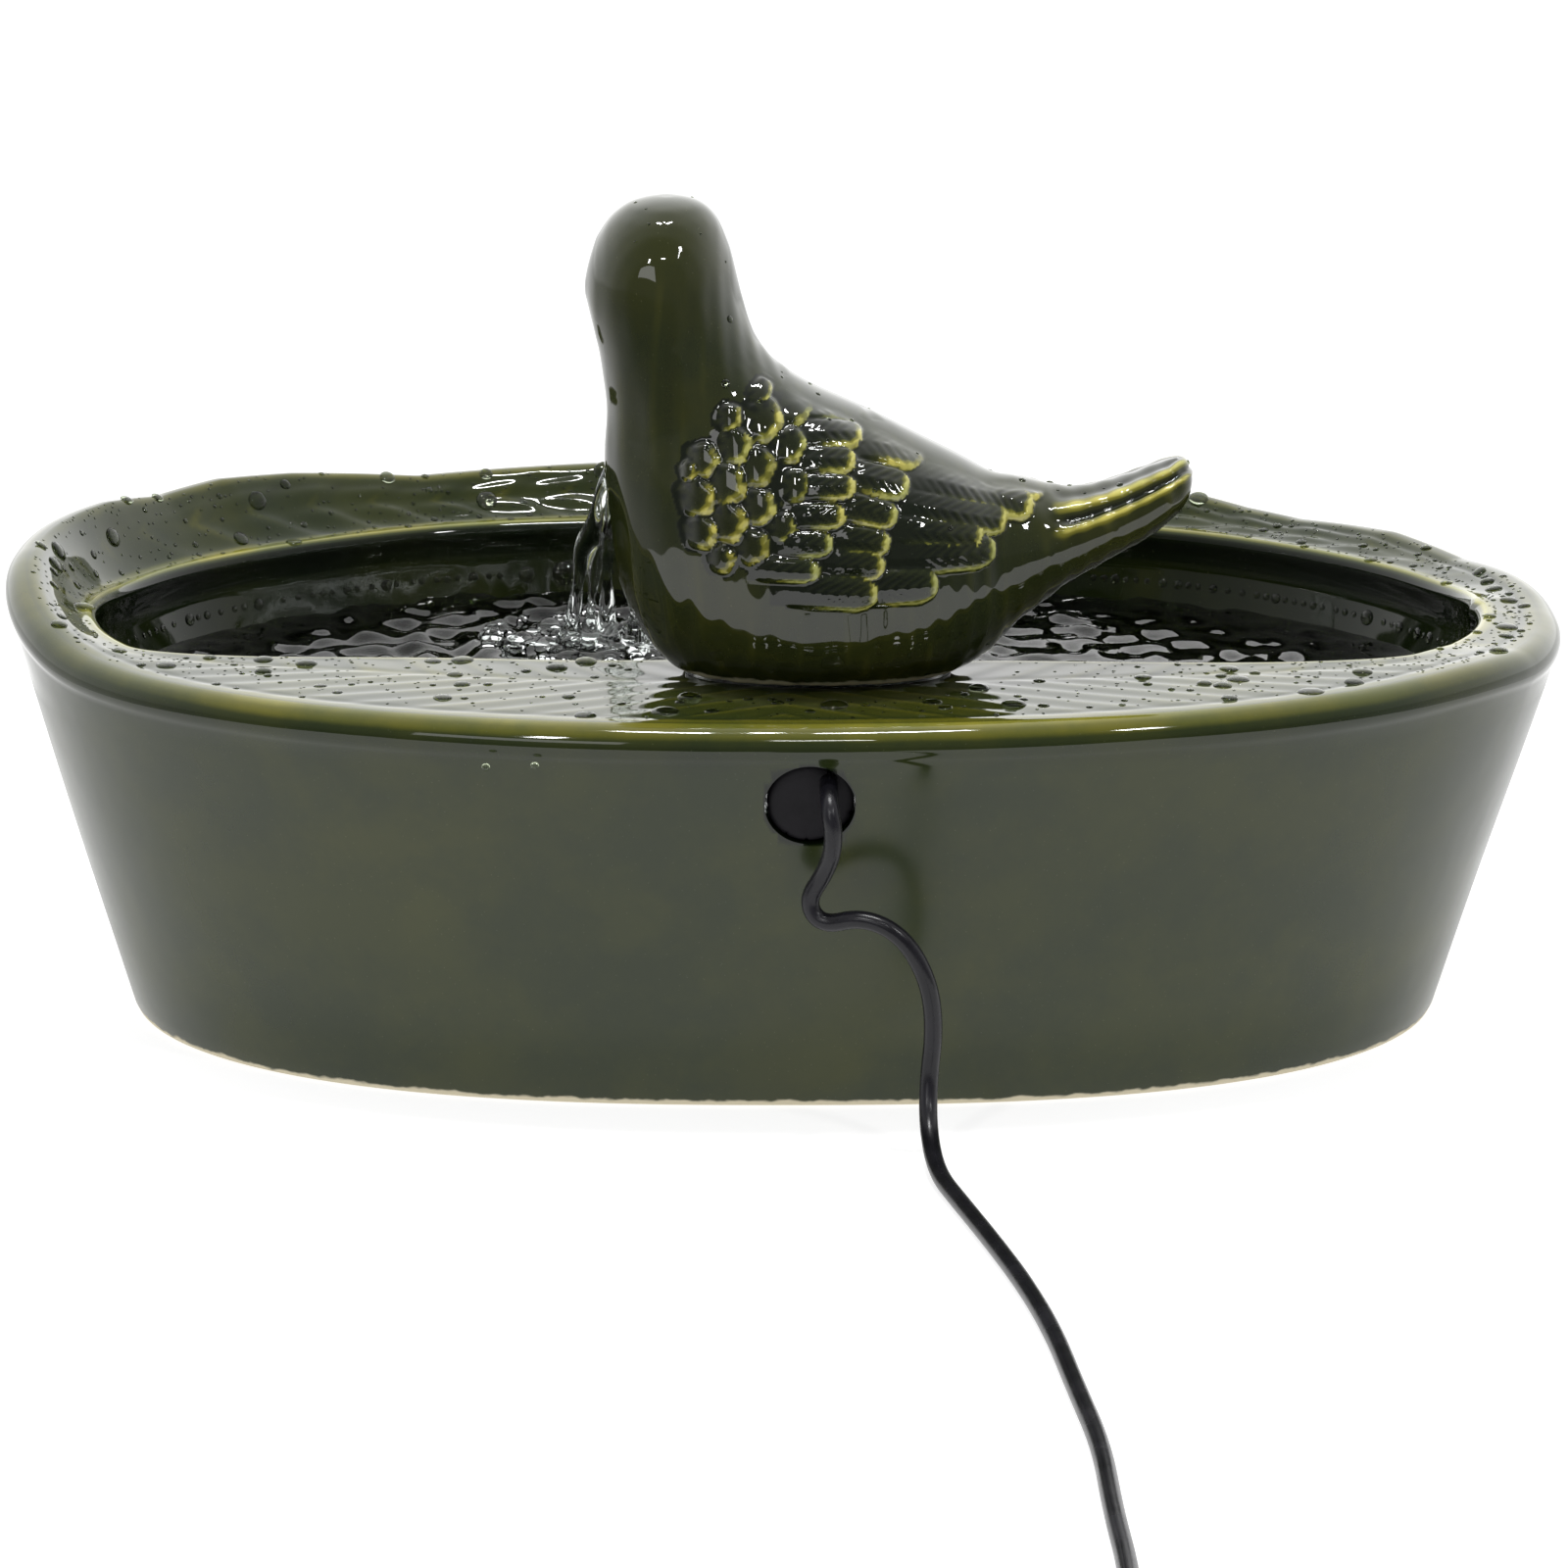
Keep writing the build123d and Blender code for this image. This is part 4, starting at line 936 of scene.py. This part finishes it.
def makeBird(values):
    v = values
    table = np.array(v["sections"], float)
    heights = np.unique(np.concatenate([
        np.linspace(v["bottom"], 198, 86), np.linspace(198, v["top"], 8)]))
    tracks = [smoothTrack(table[:, 0], table[:, k], heights) for k in range(1, 5)]
    turn = np.linspace(0, 2 * pi, 72, endpoint=False)
    rings = []
    for z, cx, cy, halfX, halfY in zip(heights, *tracks):
        midY = v["middleY"] + cy
        rings.append([((cx + halfX * cos(a)) * mm, (midY + halfY * sin(a)) * mm, z * mm) for a in turn])
    body = ringedForm("birdBody", rings)
    tailTable = np.array(v["tail"], float)
    steps = np.linspace(v["tailStart"], v["tailEnd"], 44)
    tracks = [smoothTrack(tailTable[:, 0], tailTable[:, k], steps) for k in range(1, 4)]
    rings = []
    for x, z, halfY, halfZ in zip(steps, *tracks):
        rings.append([
            (x * mm, (v["middleY"] + halfY * cos(a)) * mm, (z + halfZ * sin(a)) * mm) for a in turn])
    tail = ringedForm("birdTail", rings)
    head, way = Vector(v["head"]), Vector(v["beakWay"]).normalized()
    across = way.cross(Vector((0, 0, 1))).normalized()
    rise = across.cross(way)
    rings = []
    for far, halfWide, halfTall in v["beak"]:
        spot = head + way * far + Vector((0, 0, -0.012 * far * far / 3))
        rings.append([
            tuple((spot + across * halfWide * cos(a) + rise * halfTall * sin(a)) * mm) for a in turn])
    beak = ringedForm("birdBeak", rings)
    bpy.ops.object.select_all(action="DESELECT")
    for part in (body, tail, beak):
        part.select_set(True)
    bpy.context.view_layer.objects.active = body
    bpy.ops.object.join()
    bird = body
    bird.name = "birdForm"
    melt = bird.modifiers.new("melt", "REMESH")
    melt.mode = "VOXEL"
    melt.voxel_size = v["coarse"] * mm
    soften = bird.modifiers.new("soften", "SMOOTH")
    soften.factor = 0.5
    soften.iterations = v["smoothing"]
    fine = bird.modifiers.new("fine", "SUBSURF")
    fine.levels = 2
    fine.render_levels = 2
    bpy.context.view_layer.update()
    applyModifiers(bird)

    points = readPoints(bird) / mm
    normals = readPoints(bird, "normal")
    x, y, z = points.T
    points = points + normals * 0.25 * ease(98, 104, z)[:, None]
    sideways = ease(0.28, 0.62, np.abs(normals[:, 1]))
    height, level = featherField(x, z, v)
    onWing = (level >= 0) & (z > 112)
    push = np.where(onWing, height, 0) * sideways
    # plain glaze with faint long streaks down the neck and breast
    streak = np.sin(x * 0.9 + 2.0 * np.sin(z * 0.05)) * np.sin(x * 0.37 + y * 0.5)
    plain = 0.43 + 0.07 * streak * ease(192, 178, z)
    push = push + 0.12 * streak * ease(192, 178, z) * (~onWing)
    tone = np.where(onWing, plain * (1 - sideways) + level * sideways, plain)
    # lengthwise ridges of the tail feathers
    nearX = np.clip(x, v["tailStart"], v["tailEnd"])
    tailMiddle = smoothTrack(tailTable[:, 0], tailTable[:, 1], nearX)
    tailHalf = smoothTrack(tailTable[:, 0], tailTable[:, 3], nearX)
    q = (z - tailMiddle) / np.maximum(tailHalf, 1)
    onTail = ease(57, 63, x) * ease(91, 87, x) * (q > -0.3)
    ridge = bell(q, 0.74, 0.10) + bell(q, 0.34, 0.10)
    groove = bell(q, 0.54, 0.09) + 0.6 * bell(q, 0.92, 0.07)
    push = push + onTail * (0.45 * ridge - 0.85 * groove)
    tone = tone * (1 - onTail) + onTail * np.clip(plain + 0.5 * ridge - 0.35 * groove, 0.05, 1.0)
    # eyes, one each side of the head, and the beak's two halves
    for hand in (-1, 1):
        eye = head + way * v["eyeOut"] + across * hand * v["eyeAside"] + Vector((0, 0, v["eyeUp"]))
        gap = np.linalg.norm(points - np.array(eye), axis=1)
        gap = np.sqrt(np.maximum(gap**2 - np.min(gap) ** 2, 0))
        push = push + 0.40 * bell(gap, 0, 1.7) - 0.35 * bell(gap, 2.7, 0.6)
        tone = np.where(gap < 4.0, tone + 0.45 * bell(gap, 3.4, 0.5), tone)
        tone = np.where(gap < 2.0, 0.24, tone)
    fromHead = points - np.array(head)
    ahead = fromHead @ np.array(way)
    upward = fromHead @ np.array(rise) + 0.004 * ahead**2
    beakPart = ease(17, 20, ahead)
    push = push - 0.45 * beakPart * bell(upward, -0.6, 0.55)
    tone = tone + 0.22 * beakPart
    # a thin dark fold where the beak leaves the head
    push = push - 0.3 * bell(ahead, 16.5, 0.8) * (np.abs(upward) < 9) * (ahead > 10)
    points = points + normals * push[:, None]
    points[:, 2] = np.clip(points[:, 2], v["bottom"] + 0.02, v["top"])
    bird.data.vertices.foreach_set("co", np.asarray(points * mm, np.float32).ravel())
    bird.data.update()
    storeMap(bird, "glazeHeight", np.clip(tone, 0.02, 1.0))
    bird.data.materials.clear()
    bird.data.materials.append(birdGlaze)
    bore = roundBar("beakBore", (head + way * 8) * mm, (head + way * 40) * mm, v["beakBore"] * mm, 40)
    foot = roundBar("footBore", Vector((6, -75, 90)) * mm, Vector((6, -75, 112)) * mm, v["footBore"] * mm, 48)
    cutWith(bird, [bore, foot])
    smoothAll(bird)
    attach(bird, "bird")
    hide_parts("bird")
    return bird


bird = makeBird(birdLook)
print("bird made, faces:", len(bird.data.polygons))

waterLook = {
    "level": 70.0,
    "splash": (-47.0, 50.0),
    "rings": 170, "spokes": 340, "ringPower": 1.15,
    "gap": 0.4,
    "ring": 1.2, "waves": 26, "shortWave": 5.0, "longWave": 15.0, "steep": 0.0100,
    "seed": 21,
}


def makePool(values):
    v = values
    rng = np.random.RandomState(v["seed"])
    slope = wallSlope(basinLook)
    inset = basinLook["wall"] + v["gap"]
    halfX = basinLook["footX"] + slope * v["level"] - inset
    halfY = basinLook["footY"] + slope * v["level"] - inset
    edgeX, edgeY = ovalOutline(halfX, halfY, basinLook["square"], 2000)
    # away from the ledge the thick rim narrows the pool
    narrow = ease(-62, -40, edgeY) * (1 - (basinLook["openX"] - 1.5) / halfX)
    edgeX, edgeY = edgeX * (1 - narrow), edgeY * (1 - narrow)
    splash = np.array(v["splash"])
    around = np.arctan2(edgeY - splash[1], edgeX - splash[0])
    reach = np.hypot(edgeX - splash[0], edgeY - splash[1])
    order = np.argsort(around)
    spokes = np.linspace(-pi, pi, v["spokes"], endpoint=False)
    limit = np.interp(spokes, around[order], reach[order], period=2 * pi)
    waves = [(rng.uniform(0, 2 * pi), rng.uniform(v["shortWave"], v["longWave"]), rng.uniform(0, 2 * pi))
             for i in range(v["waves"])]
    points, faces = [(splash[0] * mm, splash[1] * mm, v["level"] * mm)], []
    for k in range(1, v["rings"] + 1):
        share = (k / v["rings"]) ** v["ringPower"]
        r = limit * share
        x, y = splash[0] + r * np.cos(spokes), splash[1] + r * np.sin(spokes)
        z = v["ring"] * np.sin(2 * pi * r / 13.0) * np.exp(-r / 55.0)
        for way, long, start in waves:
            z = z + v["steep"] * long * np.sin(2 * pi * (x * cos(way) + y * sin(way)) / long + start)
        z = z * (1 - 0.8 * ease(0.97, 1.0, share))
        points += [tuple(p) for p in np.stack([x, y, v["level"] + z], axis=1) * mm]
    n = v["spokes"]
    for j in range(n):
        faces.append((0, 1 + j, 1 + (j + 1) % n))
    faces += ringFaces(v["rings"], n, 1, flip=True)
    pool = addObject("poolWater", points, faces, water)
    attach(pool, "root")


streamLook = {
    "start": (-36.9, -43.6, 176.2),
    "end": (-45.0, 46.0, 70.0),
    "radius": 1.9,
    "rows": 110, "sides": 20,
    # where each strand lands beside the main one, where it parts from it, and its thickness
    "strands": [
        (0.0, 0.0, 1.0), (-8.5, 0.52, 0.80), (7.5, 0.40, 0.85), (-4.0, 0.62, 0.60), (13.0, 0.50, 0.65),
    ],
    "seed": 8,
}


def makeStream(values):
    v = values
    rng = np.random.RandomState(v["seed"])
    start, end = np.array(v["start"]), np.array(v["end"])
    sides = v["sides"]
    points, faces = [], []
    for aside, parting, thick in v["strands"]:
        phases = rng.uniform(0, 2 * pi, 4)
        first = len(points)
        for k in range(v["rows"]):
            t = parting + (1 - parting) * k / (v["rows"] - 1)
            away = (t - parting) / (1 - parting)
            x = start[0] + (end[0] - start[0]) * t**3 + aside * away**1.4
            x += 1.1 * away * sin(17 * t + phases[3])
            y = start[1] + (end[1] - start[1]) * t - 0.5 * abs(aside) * away
            z = start[2] + (end[2] - start[2]) * (0.10 * t + 0.90 * t * t)
            ripple = 1 + (0.32 * sin(23 * t + phases[0]) + 0.28 * sin(61 * t + phases[1])) * t
            begun = 0.15 + 0.85 * ease(0, 0.08, away + (parting == 0))
            wide = v["radius"] * thick * (0.85 + 0.05 * t) * ripple * begun
            wide += 2.2 * ease(0.955, 1.0, t)
            flat = 1.15 + 0.45 * sin(13 * t + phases[2]) * t
            for i in range(sides):
                a = 2 * pi * i / sides
                points.append(((x + wide * flat * cos(a)) * mm, (y + wide / flat * sin(a) * 0.8) * mm,
                               (z + wide / flat * sin(a) * 0.6) * mm))
        faces += ringFaces(v["rows"], sides, first, flip=True)
        faces.append(tuple(first + i for i in range(sides)))
        last = first + (v["rows"] - 1) * sides
        faces.append(tuple(range(last + sides - 1, last - 1, -1)))
    stream = addObject("waterStream", points, faces, water)
    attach(stream, "root")
    return stream


def ballPoints(level):
    form = bmesh.new()
    bmesh.ops.create_icosphere(form, subdivisions=level, radius=1.0)
    points = np.array([tuple(p.co) for p in form.verts])
    faces = [tuple(p.index for p in f.verts) for f in form.faces]
    form.free()
    return points, faces


def beadField(name, spots, body, finish):
    # each bead is (place, normal, radius, height share), in millimetres
    fine, fineFaces = ballPoints(3)
    plain, plainFaces = ballPoints(2)
    points, faces, used = [], [], 0
    for place, normal, radius, tall in spots:
        form, formFaces = (fine, fineFaces) if radius > 1.5 else (plain, plainFaces)
        turn = np.array(Vector(normal).to_track_quat("Z", "Y").to_matrix())
        shape = form.copy()
        shape[:, :2] *= radius
        # flat below, domed above
        shape[:, 2] = np.where(shape[:, 2] > 0, shape[:, 2] * radius * tall, shape[:, 2] * radius * 0.10)
        made = shape @ turn.T + np.array(place)
        points.append(made * mm)
        faces += [tuple(i + used for i in f) for f in formFaces]
        used += len(form)
    beads = addObject(name, np.concatenate(points).tolist(), faces, finish)
    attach(beads, body)
    return beads


beadLook = {
    "seed": 12,
    "rimCount": 1300, "rimSizes": (0.35, 3.2),
    "wallCount": 380, "wallSizes": (0.8, 3.4),
    "birdCount": 60,
    "largeAreFew": 6.5,                    # the higher, the fewer large drops there are
    "bird": (8, -75, 42, 24),              # none under the bird: middle x and y, half sizes
    "ledgeStrip": (-112, -92),             # fewer on this strip of the ledge
    "ledgeShare": 0.55,
    "aboveWater": 72.5,
    # two drips under the rolled edge: x, z
    "drips": [(-64.0, 86.0), (-53.5, 86.3)],
}


def gridSpots(grid, rowLow, rowHigh, count, sizes, rng, keep):
    small, large = sizes
    spots = []
    tries = 0
    while len(spots) < count and tries < count * 60:
        tries += 1
        i = rng.randint(rowLow + 1, rowHigh - 1)
        j = rng.randint(0, grid.shape[1])
        k = (j + 1) % grid.shape[1]
        place = grid[i, j]
        if not keep(place, rng):
            continue
        normal = np.cross(grid[i, k] - place, grid[i + 1, j] - place)
        size = np.linalg.norm(normal)
        if size < 1e-6:
            continue
        normal = normal / size
        radius = small + (large - small) * rng.rand() ** beadLook["largeAreFew"]
        if any(np.hypot(place[0] - s[0][0], place[1] - s[0][1]) < (radius + s[2]) * 1.15
               and abs(place[2] - s[0][2]) < 4 for s in spots):
            continue
        spots.append((place, normal, radius, 0.24 + 0.20 * rng.rand()))
    return spots


def rimKeep(place, rng):
    midX, midY, halfX, halfY = beadLook["bird"]
    underBird = ((place[0] - midX) / halfX) ** 2 + ((place[1] - midY) / halfY) ** 2 < 1
    low, high = beadLook["ledgeStrip"]
    offStrip = place[1] > high or place[1] < low
    return not underBird and (offStrip or rng.rand() < beadLook["ledgeShare"])


def wallKeep(place, rng):
    return place[2] > beadLook["aboveWater"] and place[1] > -20


def makeBeads(values):
    rng = np.random.RandomState(values["seed"])
    low, high = rimRows
    spots = gridSpots(rimGrid, low + 4, high, values["rimCount"], values["rimSizes"], rng, rimKeep)
    low, high = wallRows
    spots += gridSpots(rimGrid, low + 1, high, values["wallCount"], values["wallSizes"], rng, wallKeep)
    for x, z in values["drips"]:
        spots.append(((x, -121.0, z), (0, -0.96, -0.28), 0.95, 0.9))
    beadField("rimBeads", spots, "root", beadWater)
    # small ones on the bird's head, back and tail
    points = readPoints(bird) / mm
    normals = readPoints(bird, "normal")
    spots = []
    while len(spots) < values["birdCount"]:
        i = rng.randint(len(points))
        if normals[i, 2] < 0.25 or points[i, 2] < 118:
            continue
        radius = 0.3 + 0.8 * rng.rand() ** 3
        if all(np.linalg.norm(points[i] - s[0]) > 3 * (radius + s[2]) for s in spots):
            spots.append((points[i], normals[i], radius, 0.45))
    beadField("birdBeads", spots, "bird", beadWater)


foamLook = {"seed": 30, "count": 170, "spread": 24.0}


def makeFoamBubbles(values):
    rng = np.random.RandomState(values["seed"])
    splash = waterLook["splash"]
    spots = []
    for i in range(values["count"]):
        a, r = rng.uniform(0, 2 * pi), values["spread"] * rng.rand() ** 0.7
        radius = 0.7 + 2.6 * rng.rand() ** 3
        place = (splash[0] + r * cos(a) * 1.25, splash[1] + r * sin(a), waterLook["level"] + 0.2)
        spots.append((place, (0, 0, 1), radius, 0.95))
    beadField("splashBubbles", spots, "root", water)


makePool(waterLook)
stream = makeStream(streamLook)
makeBeads(beadLook)
makeFoamBubbles(foamLook)
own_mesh(stream)
print("water made")
